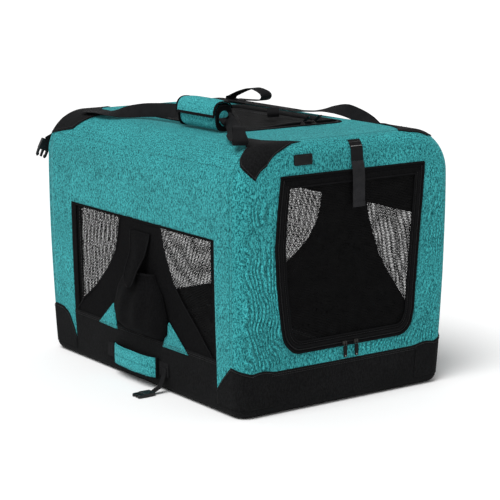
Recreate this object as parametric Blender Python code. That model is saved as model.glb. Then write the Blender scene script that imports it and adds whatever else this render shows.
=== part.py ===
"""Folding canvas dog crate: a steel tube frame inside a cloth cover, with net windows and zipped doors.

Metres, +Z up, origin at the middle of the base on the ground. The front door faces -Y, the pouch is at -X.
"""

import math

import bmesh
import bpy
from mathutils import Matrix, Vector

# Overall cover
LENGTH = 0.810
WIDTH = 0.580
HEIGHT = 0.580
EDGE_R = 0.031
TOP_R = 0.096
BASE_EDGE_R = 0.020
WIDEST_Z = HEIGHT - 0.142
BASE_INSET = 0.012
TOP_INSET = 0.005
CLOTH = 0.003
SEAM = 0.0003
FRONT_BAND = 0.097
SIDE_BAND = 0.118
ROOF_SEAM_DROP = 0.050

# Steel frame
TUBE_R = 0.0075
LEG_R = 0.007
RUN = 0.0004
BOW_X = WIDTH / 2 - 0.030
BOW_Y = LENGTH / 2 - 0.030
BOW_BEND_R = TOP_R - 0.021
BOW_END_Z = HEIGHT - 0.143
BOW_CLEAR = 0.0020
RING_INSET = 0.004
RING_BEND_R = 0.020
LEG_GAP_X = 0.0135
LEG_GAP_Y = 0.0125
LEG_PAIR_GAP = 0.016
LEG_TOP_Z = HEIGHT - 0.121
PIVOT_Z = 0.045
PIVOT_SETBACK = 0.0195
LEG_BEND_R = 0.030
RAIL_GAP = 0.004
CLIP_LOW_Z = HEIGHT - 0.165
CLIP_HEIGHT = 0.040
CLIP_WALL = 0.0025
LEG_LEAN_ROOM = 0.001
BRACKET_X = BOW_X - 0.110
BRACKET_WIDTH = 0.024
BRACKET_WALL = 0.003

# Floor board
BOARD_T = 0.010
BOARD_GAP = 0.003
BOARD_CORNER_R = 0.015

# Front door and its zip
DOOR_LOW_Z = FRONT_BAND + 0.033
DOOR_TOP_Z = HEIGHT - 0.070
DOOR_HALF = WIDTH / 2 - 0.090
DOOR_X = 0.008
DOOR_LOW_R = 0.058
DOOR_LEVELS = 7
ZIP_TAPE = 0.008
DOOR_BORDER = 0.024
DOOR_T = 0.0024

# Windows
WINDOW_Y = -0.018
WINDOW_HALF = LENGTH / 2 - 0.110
WINDOW_TOP_Z = HEIGHT - 0.203
REAR_WINDOW_HALF = WIDTH / 2 - 0.100
NET_T = 0.0012
NET_BAR = 0.006
GUSSET_T = 0.0015
GUSSET_Y = -0.026
GUSSET_TOP_HALF = 0.081
GUSSET_LOW_HALF = WINDOW_HALF - 0.025
GUSSET_WAIST_HALF = 0.130
GUSSET_WAIST_SHARE = 0.48

# Top door
TOP_DOOR_X = 0.012
TOP_DOOR_HALF = WIDTH / 2 - 0.140
TOP_DOOR_FRONT = -LENGTH / 2 + 0.215
TOP_DOOR_REAR = LENGTH / 2 - 0.175
TOP_DOOR_R = 0.035

# Pouch on the left side
POUCH_Y = -0.027
POUCH_HALF = 0.105
POUCH_MOUTH_HALF = 0.062
POUCH_LOW_Z = SIDE_BAND + 0.006
POUCH_TOP_Z = WINDOW_TOP_Z - 0.115
POUCH_DEPTH = 0.034
POUCH_MOUTH_DEPTH = 0.022
POUCH_WALL = 0.003
FLAP_TOP_Z = WINDOW_TOP_Z - 0.025
FLAP_TIP_Z = POUCH_TOP_Z - 0.030
FLAP_HALF = 0.040
FLAP_TIP_HALF = 0.016
FLAP_T = 0.0025
FLAP_GAP = 0.002

# Webbing, handles and buckles
WEB_T = 0.0018
WEB_WIDTH = 0.033
HANDLE_AXIS_X = WIDTH / 2 - 0.054
HANDLE_END_Y = LENGTH / 2 - 0.082
HANDLE_SEWN = 0.030
PATCH_T = 0.0014
PATCH_STAND = 0.0008
PATCH_LOW_Z = HEIGHT - 0.073
PATCH_ARM = 0.045
PATCH_LIP = 0.014
PATCH_HIGH_TURN = math.radians(73)
WRAP_LENGTH = 0.150
WRAP_WIDTH = 0.044
WRAP_HEIGHT = 0.058
WRAP_Y = -0.098
WRAP_X = 0.126 - WIDTH / 2
WRAP_LIFT = 0.0014
TIE_X = 0.0195
TIE_SEWN_Z = HEIGHT - ROOF_SEAM_DROP
TIE_STAND = 0.0035
TIE_END_Z = HEIGHT - 0.149
TAG_X = -0.124
TAG_Z = HEIGHT - 0.036
TAG_WIDTH = 0.048
TAG_HEIGHT = 0.023
TAG_T = 0.0015
PAD_LENGTH = 0.178
PAD_HEIGHT = 0.052
PAD_T = 0.006
PAD_Y = 0.002
PAD_Z = 0.052
PAD_STANDOFF = 0.012
PAD_END = 0.040
BUCKLE_LENGTH = 0.046
BUCKLE_WIDTH = 0.030
BUCKLE_T = 0.009
BUCKLE_GAP = 0.0004
LOOP_HALF_LENGTH = 0.016
LOOP_HALF_HEIGHT = 0.020
CLOSURE_Y = -0.112
CLOSURE_Z = 0.058
CLOSURE_REACH = 0.028
REAR_STRAP_DROP = 0.026

# Zip sliders
SLIDER_LENGTH = 0.011
SLIDER_WIDTH = 0.008
SLIDER_T = 0.0045
SLIDER_SPACING = 0.031
PULL_LENGTH = 0.034
PULL_WIDTH = 0.008
PULL_T = 0.0020
PULL_STAND = 0.0007

TUBE_SIDES = 12
BORE_SIDES = 16
CORNER_STEPS = 4
TOP_STEPS = 6

TEAL = (0.030, 0.262, 0.278)
BLACK = (0.016, 0.016, 0.018)
STEEL = (0.30, 0.31, 0.32)

for old in list(bpy.data.objects):
    bpy.data.objects.remove(old, do_unlink=True)


def material(name, colour, roughness, metallic=0.0):
    made = bpy.data.materials.new(name)
    made.use_nodes = True
    shader = made.node_tree.nodes["Principled BSDF"]
    shader.inputs["Base Color"].default_value = (*colour, 1.0)
    shader.inputs["Roughness"].default_value = roughness
    shader.inputs["Metallic"].default_value = metallic
    return made


def cloth(name):
    return material(name, TEAL, 0.85)


def black(name, roughness=0.8):
    return material(name, BLACK, roughness)


def steel(name):
    return material(name, STEEL, 0.35, 0.9)


def add_mesh(name, points, faces, look=None, smooth=False):
    """Makes one object from points and faces, with every face turned outwards."""
    shape = bmesh.new()
    corners = [shape.verts.new(p) for p in points]
    for face in faces:
        shape.faces.new([corners[i] for i in face])
    bmesh.ops.recalc_face_normals(shape, faces=shape.faces)
    mesh = bpy.data.meshes.new(name)
    shape.to_mesh(mesh)
    shape.free()
    made = bpy.data.objects.new(name, mesh)
    bpy.context.scene.collection.objects.link(made)
    if look:
        mesh.materials.append(look)
    if smooth:
        mesh.shade_smooth()
        mesh.set_sharp_from_angle(angle=math.radians(40))
    return made


def cutter(name, points, faces):
    made = add_mesh(name, points, faces)
    made.hide_render = True
    made.display_type = "WIRE"
    return made


def cut(target, tool):
    step = target.modifiers.new("cut_" + tool.name, "BOOLEAN")
    step.operation = "DIFFERENCE"
    step.object = tool


def loft(rings, closed_ends=True):
    """Points and faces of a solid through rings of equal count."""
    count = len(rings[0])
    points = [p for ring in rings for p in ring]
    faces = []
    for k in range(len(rings) - 1):
        for i in range(count):
            j = (i + 1) % count
            faces.append((k * count + i, k * count + j, (k + 1) * count + j, (k + 1) * count + i))
    if closed_ends:
        faces.append(tuple(range(count))[::-1])
        faces.append(tuple((len(rings) - 1) * count + i for i in range(count)))
    else:
        last = (len(rings) - 1) * count
        for i in range(count):
            j = (i + 1) % count
            faces.append((last + i, last + j, j, i))
    return points, faces


def shell(outer, inner, faces):
    """Closes a sheet: its outer and inner points share the faces, and a rim joins their borders."""
    count = len(outer)
    used = {}
    for face in faces:
        for a, b in zip(face, face[1:] + face[:1]):
            used[(a, b)] = used.get((a, b), 0) + 1
    rim = [(a, b) for a, b in used if (b, a) not in used]
    solid = [tuple(face) for face in faces]
    solid += [tuple(i + count for i in reversed(face)) for face in faces]
    solid += [(b, a, a + count, b + count) for a, b in rim]
    return list(outer) + list(inner), solid


def grid_faces(rows, columns):
    return [
        (r * columns + c, r * columns + c + 1, (r + 1) * columns + c + 1, (r + 1) * columns + c)
        for r in range(rows - 1)
        for c in range(columns - 1)
    ]


def arc(cx, cy, radius, start, end, steps):
    """Points on an arc from one angle to another, in degrees."""
    angles = [math.radians(start + (end - start) * i / steps) for i in range(steps + 1)]
    return [(cx + radius * math.cos(a), cy + radius * math.sin(a)) for a in angles]


def rounded_box(half_a, half_b, radius, steps=CORNER_STEPS):
    """A rounded rectangle's outline, anticlockwise from its right side."""
    out = []
    for quarter, (sa, sb) in enumerate(((1, 1), (-1, 1), (-1, -1), (1, -1))):
        start = 90 * quarter
        out += arc(sa * (half_a - radius), sb * (half_b - radius), radius, start, start + 90, steps)
    return out


def smooth_path(stops, per_span=3):
    """A smooth curve through the stops, by Catmull-Rom."""
    stops = [Vector(p) for p in stops]
    ends = [2 * stops[0] - stops[1]] + stops + [2 * stops[-1] - stops[-2]]
    out = []
    for k in range(1, len(ends) - 2):
        a, b, c, d = ends[k - 1 : k + 3]
        for i in range(per_span):
            t = i / per_span
            bend, twist = 2 * a - 5 * b + 4 * c - d, 3 * b - a - 3 * c + d
            out.append(0.5 * (2 * b + (c - a) * t + bend * t**2 + twist * t**3))
    return out + [stops[-1]]


def bent_path(corners, radius, steps=CORNER_STEPS, closed=False):
    """Straight runs joined by arcs of one radius."""
    corners = [Vector(p) for p in corners]
    out = [] if closed else [corners[0]]
    span = range(len(corners)) if closed else range(1, len(corners) - 1)
    for k in span:
        before, here, after = corners[k - 1], corners[k], corners[(k + 1) % len(corners)]
        u, v = (before - here).normalized(), (after - here).normalized()
        half = u.angle(v) / 2
        reach = radius / math.tan(half)
        centre = here + (u + v).normalized() * radius / math.sin(half)
        first, last = (here + u * reach - centre).normalized(), (here + v * reach - centre).normalized()
        for i in range(steps + 1):
            out.append(centre + first.slerp(last, i / steps) * radius)
    return out if closed else out + [corners[-1]]


def tube(name, path, radius, look, closed=False, sides=TUBE_SIDES):
    """A round tube swept along a path, with flat ends square to it."""
    count = len(path)
    rings = []
    normal = None
    for k, point in enumerate(path):
        if closed:
            ahead = path[(k + 1) % count] - path[k - 1]
        else:
            ahead = path[min(k + 1, count - 1)] - path[max(k - 1, 0)]
        ahead = ahead.normalized()
        if normal is None:
            normal = ahead.orthogonal().normalized()
        normal = (normal - ahead * normal.dot(ahead)).normalized()
        across = ahead.cross(normal)
        turns = [2 * math.pi * (i + 0.5) / sides for i in range(sides)]
        rings.append([point + radius * (math.cos(t) * normal + math.sin(t) * across) for t in turns])
    points, faces = loft(rings, closed_ends=not closed)
    return add_mesh(name, points, faces, look, smooth=True)


def band(name, path, sides, width, thickness, look):
    """Flat webbing along a path: each side vector points across the webbing."""
    rings = []
    for k, point in enumerate(path):
        ahead = (path[min(k + 1, len(path) - 1)] - path[max(k - 1, 0)]).normalized()
        across = Vector(sides[k])
        across = (across - ahead * across.dot(ahead)).normalized() * width / 2
        up = ahead.cross(across).normalized() * thickness / 2
        rings.append([point - across - up, point + across - up, point + across + up, point - across + up])
    points, faces = loft(rings)
    return add_mesh(name, points, faces, look)


def turn_about(made, point):
    """Puts a moving piece's origin on its joint axis, without moving its shape."""
    point = Vector(point)
    made.data.transform(Matrix.Translation(-point))
    made.location = point
    return made


def prism(name, outline, place, low, high, look=None):
    """An outline pulled from low to high, where place(a, b, depth) gives the point."""
    rings = [[place(a, b, depth) for a, b in outline] for depth in (low, high)]
    points, faces = loft(rings)
    return add_mesh(name, points, faces, look) if look else cutter(name, points, faces)


def along_x(a, b, depth):
    return Vector((depth, a, b))


def along_y(a, b, depth):
    return Vector((a, depth, b))


def along_z(a, b, depth):
    return Vector((a, b, depth))


def inset_at(z):
    """How far the bowed walls stand inside the widest outline at a height."""
    if z < WIDEST_Z:
        return BASE_INSET * ((WIDEST_Z - z) / WIDEST_Z) ** 2
    return TOP_INSET * ((z - WIDEST_Z) / (HEIGHT - WIDEST_Z)) ** 2


def half_width(z):
    return WIDTH / 2 - inset_at(z)


def half_length(z):
    return LENGTH / 2 - inset_at(z)


ARC_X = WIDTH / 2 - TOP_R
ARC_Z = HEIGHT - TOP_R
ROOF_SEAM_Z = HEIGHT - ROOF_SEAM_DROP


def arc_height(x, inset=0.0):
    """Height of the rounded roof edge at a distance from the middle."""
    if abs(x) <= ARC_X:
        return HEIGHT - inset
    return ARC_Z + math.sqrt((TOP_R - inset) ** 2 - (abs(x) - ARC_X) ** 2)


def front_skin(z, offset=0.0):
    """Y of the front face at a height, over its rounded top edge too."""
    flat = -half_length(z)
    rise = z - (HEIGHT - EDGE_R)
    if rise > 0:
        flat += EDGE_R - math.sqrt(max(EDGE_R**2 - rise**2, 0.0))
    return flat - offset


def side_levels(low, high, count):
    return [low + (high - low) * i / (count - 1) for i in range(count)]


def edge_point(turn, inset):
    """X and Z on the rounded roof edge, from the wall at no turn to the flat roof at a quarter turn."""
    across = TOP_R - inset - inset_at(ARC_Z)
    return ARC_X + across * math.cos(turn), ARC_Z + (TOP_R - inset) * math.sin(turn)


def edge_run(low, high, inset, steps):
    return [edge_point(low + (high - low) * i / steps, inset) for i in range(steps + 1)]


def seam_turn(x, inset):
    """The turn at which the rounded edge reaches a distance from the middle."""
    return math.acos((x - ARC_X) / (TOP_R - inset - inset_at(ARC_Z)))


def arch(inset, low, levels=5):
    """The cover's outline seen from the front, from the lower left over the top to the lower right."""
    right = [(half_width(z) - inset, z) for z in side_levels(low, ARC_Z, levels)[:-1]]
    right += edge_run(0.0, math.pi / 2, inset, TOP_STEPS)
    return [(-x, z) for x, z in right] + right[::-1]


def pan(name, sign, look):
    """An end panel: the flat face and its rounded border, which wraps onto the sides and the roof."""
    outer, inner = [], []
    for depth, store in ((0.0, outer), (CLOTH, inner)):
        radius = EDGE_R - depth
        for k in range(CORNER_STEPS + 1):
            turn = math.pi / 2 * k / CORNER_STEPS
            share = k / CORNER_STEPS
            low = SIDE_BAND + (FRONT_BAND - SIDE_BAND) * share + SEAM
            inset = EDGE_R - radius * math.cos(turn)
            back = EDGE_R - radius * math.sin(turn)
            for x, z in arch(inset, low):
                store.append(Vector((x, sign * (half_length(z) - back), z)))
    columns = len(arch(0.0, FRONT_BAND))
    faces = grid_faces(CORNER_STEPS + 1, columns)
    last = CORNER_STEPS * columns
    for i in range(columns // 2 - 1):
        faces.append((last + i, last + i + 1, last + columns - 2 - i, last + columns - 1 - i))
    return add_mesh(name, *shell(outer, inner, faces), look, smooth=True)


def door_outline(shrink):
    """The front door's outline in X and Z, drawn in all round: square above, with round lower corners."""
    half, low, top = DOOR_HALF - shrink, DOOR_LOW_Z + shrink, DOOR_TOP_Z - shrink
    low_r = DOOR_LOW_R - shrink
    right = side_levels(low + low_r, top, DOOR_LEVELS)
    out = [(half, z) for z in right[1:]] + [(-half, z) for z in right[:0:-1]]
    out += arc(-half + low_r, low + low_r, low_r, 180, 270, CORNER_STEPS + 1)
    out += arc(half - low_r, low + low_r, low_r, 270, 360, CORNER_STEPS + 1)
    return [(x + DOOR_X, z) for x, z in out]


def ring_plate(name, outer, inner, place, low, high, look):
    """A flat ring between two outlines of equal count."""
    rings = [
        [place(a, b, low) for a, b in outer],
        [place(a, b, high) for a, b in outer],
        [place(a, b, high) for a, b in inner],
        [place(a, b, low) for a, b in inner],
    ]
    points, faces = loft(rings, closed_ends=False)
    return add_mesh(name, points, faces, look)


def net(name, inside, low, high, cells, place, depth, look):
    """A net of square gaps within a box of two sizes. A gap outside the outline is left filled."""
    count_a, count_b = cells
    step_a, step_b = (high[0] - low[0] - NET_BAR) / count_a, (high[1] - low[1] - NET_BAR) / count_b
    lines_a = [low[0] + (i // 2) * step_a + (i % 2) * NET_BAR for i in range(2 * count_a + 2)]
    lines_b = [low[1] + (j // 2) * step_b + (j % 2) * NET_BAR for j in range(2 * count_b + 2)]
    columns = len(lines_a)
    faces = []
    for j in range(len(lines_b) - 1):
        for i in range(columns - 1):
            if i % 2 and j % 2:
                continue
            here, above = j * columns + i, (j + 1) * columns + i
            faces.append((here, here + 1, above + 1, above))
    flat = [inside(a, b) for b in lines_b for a in lines_a]
    near = [place(a, b, depth) for a, b in flat]
    far = [place(a, b, depth + NET_T) for a, b in flat]
    return add_mesh(name, *shell(near, far, faces), look)


def as_is(a, b):
    return a, b


def pull_in(half, low, low_r):
    """Draws a door net's lower corners in along the rounded outline."""

    def inside(x, z):
        reach = half
        if z < low + low_r:
            reach = half - low_r + math.sqrt(max(low_r**2 - (low + low_r - z) ** 2, 0.0))
        return (x - DOOR_X) * reach / half + DOOR_X, z

    return inside


def front_place(x, z, depth):
    """On the front face, depth inwards from the cover's outer side."""
    return Vector((x, front_skin(z) + depth, z))


def rear_place(x, z, depth):
    return Vector((x, half_length(z) - depth, z))


def side_place(sign):
    def place(y, z, depth):
        return Vector((sign * (half_width(z) - depth), y, z))

    return place


def box_points(low, high):
    (x0, y0, z0), (x1, y1, z1) = low, high
    bottom = [(x0, y0, z0), (x1, y0, z0), (x1, y1, z0), (x0, y1, z0)]
    top = [(x, y, z1) for x, y, _ in bottom]
    return loft([[Vector(p) for p in bottom], [Vector(p) for p in top]])


# Black base: a cloth tray with round edges whose rim steps up along the sides.
def plan_ring(inset, height_of):
    """A rounded plan outline, whose height may change round each corner."""
    out = []
    for quarter, (sx, sy) in enumerate(((1, 1), (-1, 1), (-1, -1), (1, -1))):
        for i in range(CORNER_STEPS + 1):
            share = i / CORNER_STEPS if quarter % 2 == 0 else 1 - i / CORNER_STEPS
            z = height_of(share)
            turn = math.radians(90 * quarter + 90 * i / CORNER_STEPS)
            radius = EDGE_R - inset
            x = sx * (half_width(z) - EDGE_R) + radius * math.cos(turn)
            y = sy * (half_length(z) - EDGE_R) + radius * math.sin(turn)
            out.append(Vector((x, y, z)))
    return out


def rim_height(share):
    return SIDE_BAND + (FRONT_BAND - SIDE_BAND) * share


def make_base_tub():
    rings = []
    for k in range(4):
        turn = math.pi / 2 * k / 3
        z = BASE_EDGE_R * (1 - math.sin(turn))
        inset = BASE_EDGE_R * (1 - math.cos(turn))
        rings.insert(0, plan_ring(inset, lambda share, z=z: z))
    rings = rings[::1]
    rings.append(plan_ring(0.0, rim_height))
    rings.append(plan_ring(CLOTH, rim_height))
    for k in range(4):
        turn = math.pi / 2 * k / 3
        radius = BASE_EDGE_R - CLOTH
        z = BASE_EDGE_R - radius * math.sin(turn)
        inset = BASE_EDGE_R - radius * math.cos(turn)
        rings.append(plan_ring(inset, lambda share, z=z: z))
    points, faces = loft(rings)
    return add_mesh("base_tub", points, faces, black("base_cloth"), smooth=True)


# Steel frame: a base ring, two leg hoops, two bows and two rails.
RING_X = BOW_X - RING_INSET
RING_Y = BOW_Y - RING_INSET
RING_Z = CLOTH + SEAM + TUBE_R
BOW_TOP_Z = HEIGHT - CLOTH - BOW_CLEAR - TUBE_R
LEG_Y = BOW_Y - LEG_GAP_Y
PIVOT_Y = LEG_Y - PIVOT_SETBACK
FRONT_LEG_X = BOW_X - LEG_GAP_X
REAR_LEG_X = FRONT_LEG_X - LEG_PAIR_GAP
RAIL_X = REAR_LEG_X - LEG_R - TUBE_R - RAIL_GAP
RAIL_Z = BOW_TOP_Z - BOW_BEND_R + math.sqrt(BOW_BEND_R**2 - (RAIL_X - (BOW_X - BOW_BEND_R)) ** 2)


def make_frame():
    corners = [(sx * RING_X, sy * RING_Y, RING_Z) for sx, sy in ((1, 1), (-1, 1), (-1, -1), (1, -1))]
    tube("base_frame", bent_path(corners, RING_BEND_R, closed=True), TUBE_R, steel("ring_steel"), closed=True)
    for name, sign, leg_x in (("front", -1, FRONT_LEG_X), ("rear", 1, REAR_LEG_X)):
        top = LEG_TOP_Z
        corners = [
            (-leg_x, sign * LEG_Y, top),
            (-leg_x, sign * PIVOT_Y, PIVOT_Z),
            (leg_x, sign * PIVOT_Y, PIVOT_Z),
            (leg_x, sign * LEG_Y, top),
        ]
        legs = tube(f"{name}_legs", bent_path(corners, LEG_BEND_R), LEG_R, steel(f"{name}_leg_steel"))
        turn_about(legs, (0.0, sign * PIVOT_Y, PIVOT_Z))
        corners = [
            (-BOW_X, sign * BOW_Y, BOW_END_Z),
            (-BOW_X, sign * BOW_Y, BOW_TOP_Z),
            (BOW_X, sign * BOW_Y, BOW_TOP_Z),
            (BOW_X, sign * BOW_Y, BOW_END_Z),
        ]
        tube(f"{name}_bow", bent_path(corners, BOW_BEND_R, TOP_STEPS), TUBE_R, steel(f"{name}_bow_steel"))
    reach = BOW_Y - TUBE_R - SEAM
    for name, sign in (("left", -1), ("right", 1)):
        path = [Vector((sign * RAIL_X, y, RAIL_Z)) for y in (-reach, 0.0, reach)]
        tube(f"{name}_rail", path, TUBE_R, steel(f"{name}_rail_steel"))


def hull(points):
    """The convex outline round a set of points."""
    points = sorted(set(points))
    chains = []
    for run in (points, points[::-1]):
        chain = []
        for p in run:
            while len(chain) > 1:
                (ax, ay), (bx, by) = chain[-2], chain[-1]
                if (bx - ax) * (p[1] - ay) - (by - ay) * (p[0] - ax) > 0:
                    break
                chain.pop()
            chain.append(p)
        chains += chain[:-1]
    return chains


def circle(x, y, radius, sides=BORE_SIDES):
    return [
        (x + radius * math.cos(2 * math.pi * i / sides), y + radius * math.sin(2 * math.pi * i / sides))
        for i in range(sides)
    ]


def bore_radius(shaft):
    """A many-sided bore whose flats clear the shaft."""
    return (shaft + RUN) / math.cos(math.pi / BORE_SIDES)


def make_clip(name, sx, sy, leg_x):
    """A plastic socket on a bow's end, with a channel that the leg snaps into from inside."""
    shape = circle(BOW_X, BOW_Y, bore_radius(TUBE_R) + CLIP_WALL)
    shape += circle(leg_x, LEG_Y + LEG_LEAN_ROOM, bore_radius(LEG_R) + CLIP_WALL)
    mouth = LEG_Y - LEG_R
    rim = hull([(round(x, 6), round(max(y, mouth), 6)) for x, y in shape])
    outline = [(sx * x, sy * max(y, mouth)) for x, y in rim]
    clip = prism(name, outline, along_z, CLIP_LOW_Z, CLIP_LOW_Z + CLIP_HEIGHT, black(name + "_plastic", 0.5))
    bore = [(sx * x, sy * y) for x, y in circle(BOW_X, BOW_Y, bore_radius(TUBE_R))]
    high = CLIP_LOW_Z + CLIP_HEIGHT
    cut(clip, prism(name + "_bore", bore, along_z, BOW_END_Z - SEAM, high + CLIP_WALL))
    radius = bore_radius(LEG_R)
    slot = arc(leg_x, LEG_Y + LEG_LEAN_ROOM, radius, 0, 180, BORE_SIDES // 2)
    slot += [(leg_x - radius, mouth - CLIP_WALL), (leg_x + radius, mouth - CLIP_WALL)]
    slot = [(sx * x, sy * y) for x, y in slot]
    cut(clip, prism(name + "_slot", slot, along_z, CLIP_LOW_Z - CLIP_WALL, high + CLIP_WALL))


def make_bracket(name, sx, sy):
    """A plastic block that sits on the base ring and holds the leg hoop's turning crossbar."""
    inner = PIVOT_Y - bore_radius(LEG_R) - BRACKET_WALL
    outer = RING_Y + TUBE_R + BRACKET_WALL
    top = PIVOT_Z + bore_radius(LEG_R) + BRACKET_WALL
    low = BOARD_TOP_Z + SEAM
    outline = [(inner, low), (outer, low), (outer, RING_Z + 2 * TUBE_R), (PIVOT_Y + LEG_R, top), (inner, top)]
    outline = [(sy * y, z) for y, z in outline]
    x = sx * BRACKET_X
    half = BRACKET_WIDTH / 2
    block = prism(name, outline, along_x, x - half, x + half, black(name + "_plastic", 0.5))
    for label, y, z, shaft in (("seat", RING_Y, RING_Z, TUBE_R), ("bore", PIVOT_Y, PIVOT_Z, LEG_R)):
        hole = [(sy * a, b) for a, b in circle(y, z, bore_radius(shaft))]
        cut(block, prism(f"{name}_{label}", hole, along_x, x - BRACKET_WIDTH, x + BRACKET_WIDTH))


BOARD_TOP_Z = CLOTH + SEAM + BOARD_T


def make_board():
    outline = rounded_box(RING_X - TUBE_R - BOARD_GAP, RING_Y - TUBE_R - BOARD_GAP, BOARD_CORNER_R)
    prism("floor_board", outline, along_z, CLOTH + SEAM, BOARD_TOP_Z, black("board_cloth"))


# Cloth walls and roof
def make_walls():
    front = pan("front_panel", -1, cloth("front_cloth"))
    cut(front, prism("front_opening", door_outline(-SEAM), along_y, -LENGTH, -LENGTH / 2 + EDGE_R))
    rear = pan("rear_panel", 1, cloth("rear_cloth"))
    half = REAR_WINDOW_HALF
    window = [(-half, 0.0), (half, 0.0), (half, DOOR_TOP_Z), (-half, DOOR_TOP_Z)]
    cut(rear, prism("rear_opening", window, along_y, LENGTH / 2 - EDGE_R, LENGTH))
    for name, sign in (("left", -1), ("right", 1)):
        wall = make_side(f"{name}_panel", sign)
        y0, y1 = WINDOW_Y - WINDOW_HALF, WINDOW_Y + WINDOW_HALF
        window = [(y0, 0.0), (y1, 0.0), (y1, WINDOW_TOP_Z), (y0, WINDOW_TOP_Z)]
        low, high = sorted((sign * WIDTH / 2 * 0.8, sign * WIDTH))
        cut(wall, prism(f"{name}_opening", window, along_x, low, high))


SEAM_X = edge_point(math.asin((ROOF_SEAM_Z - ARC_Z) / TOP_R), 0.0)[0]


def end_reach(z):
    """How far the middle panels run towards each end panel."""
    return half_length(z) - EDGE_R - SEAM


def make_side(name, sign):
    """A side wall from the base band to the roof seam, cut upright there so that the roof can drop past it."""
    rows = [(half_width(z), z, half_width(z) - CLOTH, z) for z in side_levels(SIDE_BAND + SEAM, ARC_Z, 6)]
    outer = edge_run(0.0, seam_turn(SEAM_X + SEAM, 0.0), 0.0, 3)[1:]
    inner = edge_run(0.0, seam_turn(SEAM_X + SEAM, CLOTH), CLOTH, 3)[1:]
    rows += [(a, b, c, d) for (a, b), (c, d) in zip(outer, inner)]
    near, far = [], []
    for x, z, x_in, z_in in rows:
        for end in (-1, 1):
            near.append(Vector((sign * x, end * end_reach(z), z)))
            far.append(Vector((sign * x_in, end * end_reach(z), z_in)))
    return add_mesh(name, *shell(near, far, grid_faces(len(rows), 2)), cloth(name + "_cloth"), smooth=True)


def make_roof():
    """The roof between the end panels, down to an upright seam at each side."""
    outer = edge_run(seam_turn(SEAM_X, 0.0), math.pi / 2, 0.0, TOP_STEPS)
    inner = edge_run(seam_turn(SEAM_X, CLOTH), math.pi / 2, CLOTH, TOP_STEPS)
    outer += [(-x, z) for x, z in reversed(outer)]
    inner += [(-x, z) for x, z in reversed(inner)]
    near, far = [], []
    for (x, z), (x_in, z_in) in zip(outer, inner):
        for end in (-1, 1):
            near.append(Vector((x, end * end_reach(z), z)))
            far.append(Vector((x_in, end * end_reach(z), z_in)))
    skin = shell(near, far, grid_faces(len(outer), 2))
    roof = add_mesh("roof_panel", *skin, cloth("roof_cloth"), smooth=True)
    outline = top_outline(SEAM)
    cut(roof, prism("roof_opening", outline, along_z, HEIGHT - 2 * CLOTH, HEIGHT + CLOTH))


def top_outline(grow):
    """The top door's outline, grown or shrunk all round."""
    half_y = (TOP_DOOR_REAR - TOP_DOOR_FRONT) / 2
    mid = (TOP_DOOR_REAR + TOP_DOOR_FRONT) / 2
    shape = rounded_box(TOP_DOOR_HALF + grow, half_y + grow, TOP_DOOR_R + grow)
    return [(x + TOP_DOOR_X, y + mid) for x, y in shape]


def make_nets():
    low_z, high_z = SIDE_BAND + SEAM, WINDOW_TOP_Z - SEAM
    for name, sign in (("left", -1), ("right", 1)):
        low = (WINDOW_Y - WINDOW_HALF + SEAM, low_z)
        high = (WINDOW_Y + WINDOW_HALF - SEAM, high_z)
        net(f"{name}_window_net", as_is, low, high, (12, 5), side_place(sign), GUSSET_T, black(f"{name}_net"))
        make_gusset(f"{name}_gusset", sign)
    half = REAR_WINDOW_HALF - SEAM
    low, high = (-half, FRONT_BAND + SEAM), (half, DOOR_TOP_Z - SEAM)
    net("rear_window_net", as_is, low, high, (7, 7), rear_place, GUSSET_T, black("rear_net"))


def gusset_half(share):
    """Half width of the gusset, from its foot at 0 to its top at 1, along a curve through the waist."""
    bend = (GUSSET_WAIST_HALF - GUSSET_LOW_HALF) / GUSSET_WAIST_SHARE
    rest = GUSSET_TOP_HALF - GUSSET_LOW_HALF - bend
    curve = rest / (1 - GUSSET_WAIST_SHARE)
    return GUSSET_LOW_HALF + bend * share + curve * share * (share - GUSSET_WAIST_SHARE)


def make_gusset(name, sign):
    """The black cloth piece that spreads from the window's top to its whole foot, outside the net."""
    low, high = SIDE_BAND + SEAM, WINDOW_TOP_Z - SEAM
    near, far = [], []
    levels = 7
    for k in range(levels):
        z = low + (high - low) * k / (levels - 1)
        half = gusset_half(k / (levels - 1))
        for end in (-1, 1):
            y = GUSSET_Y + end * half
            near.append(side_place(sign)(y, z, 0.0))
            far.append(side_place(sign)(y, z, GUSSET_T - SEAM))
    add_mesh(name, *shell(near, far, grid_faces(levels, 2)), black(name + "_cloth"))


def make_door():
    """The front door: a zip track in the wall, then the border and the net, all in the wall's thickness."""

    tape, border = ZIP_TAPE, ZIP_TAPE + DOOR_BORDER
    outer, inner = door_outline(0.0), door_outline(tape)
    ring_plate("front_zip_track", outer, inner, front_place, 0.0, CLOTH, black("front_zip_tape", 0.6))
    outer, inner = door_outline(tape + SEAM), door_outline(border)
    door = ring_plate("front_door_border", outer, inner, front_place, 0.0, DOOR_T, black("door_border"))
    hinge_z = DOOR_TOP_Z - tape - SEAM
    turn_about(door, (DOOR_X, front_skin(hinge_z), hinge_z))
    shrink = border + SEAM
    half, low_z, low_r = DOOR_HALF - shrink, DOOR_LOW_Z + shrink, DOOR_LOW_R - shrink
    low, high = (DOOR_X - half, low_z), (DOOR_X + half, DOOR_TOP_Z - shrink)
    screen = net(
        "front_door_net", pull_in(half, low_z, low_r), low, high, (7, 7), front_place, SEAM, black("door_net")
    )
    turn_about(screen, (DOOR_X, front_skin(hinge_z), hinge_z))


def roof_place(x, y, depth):
    return Vector((x, y, HEIGHT - depth))


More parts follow.
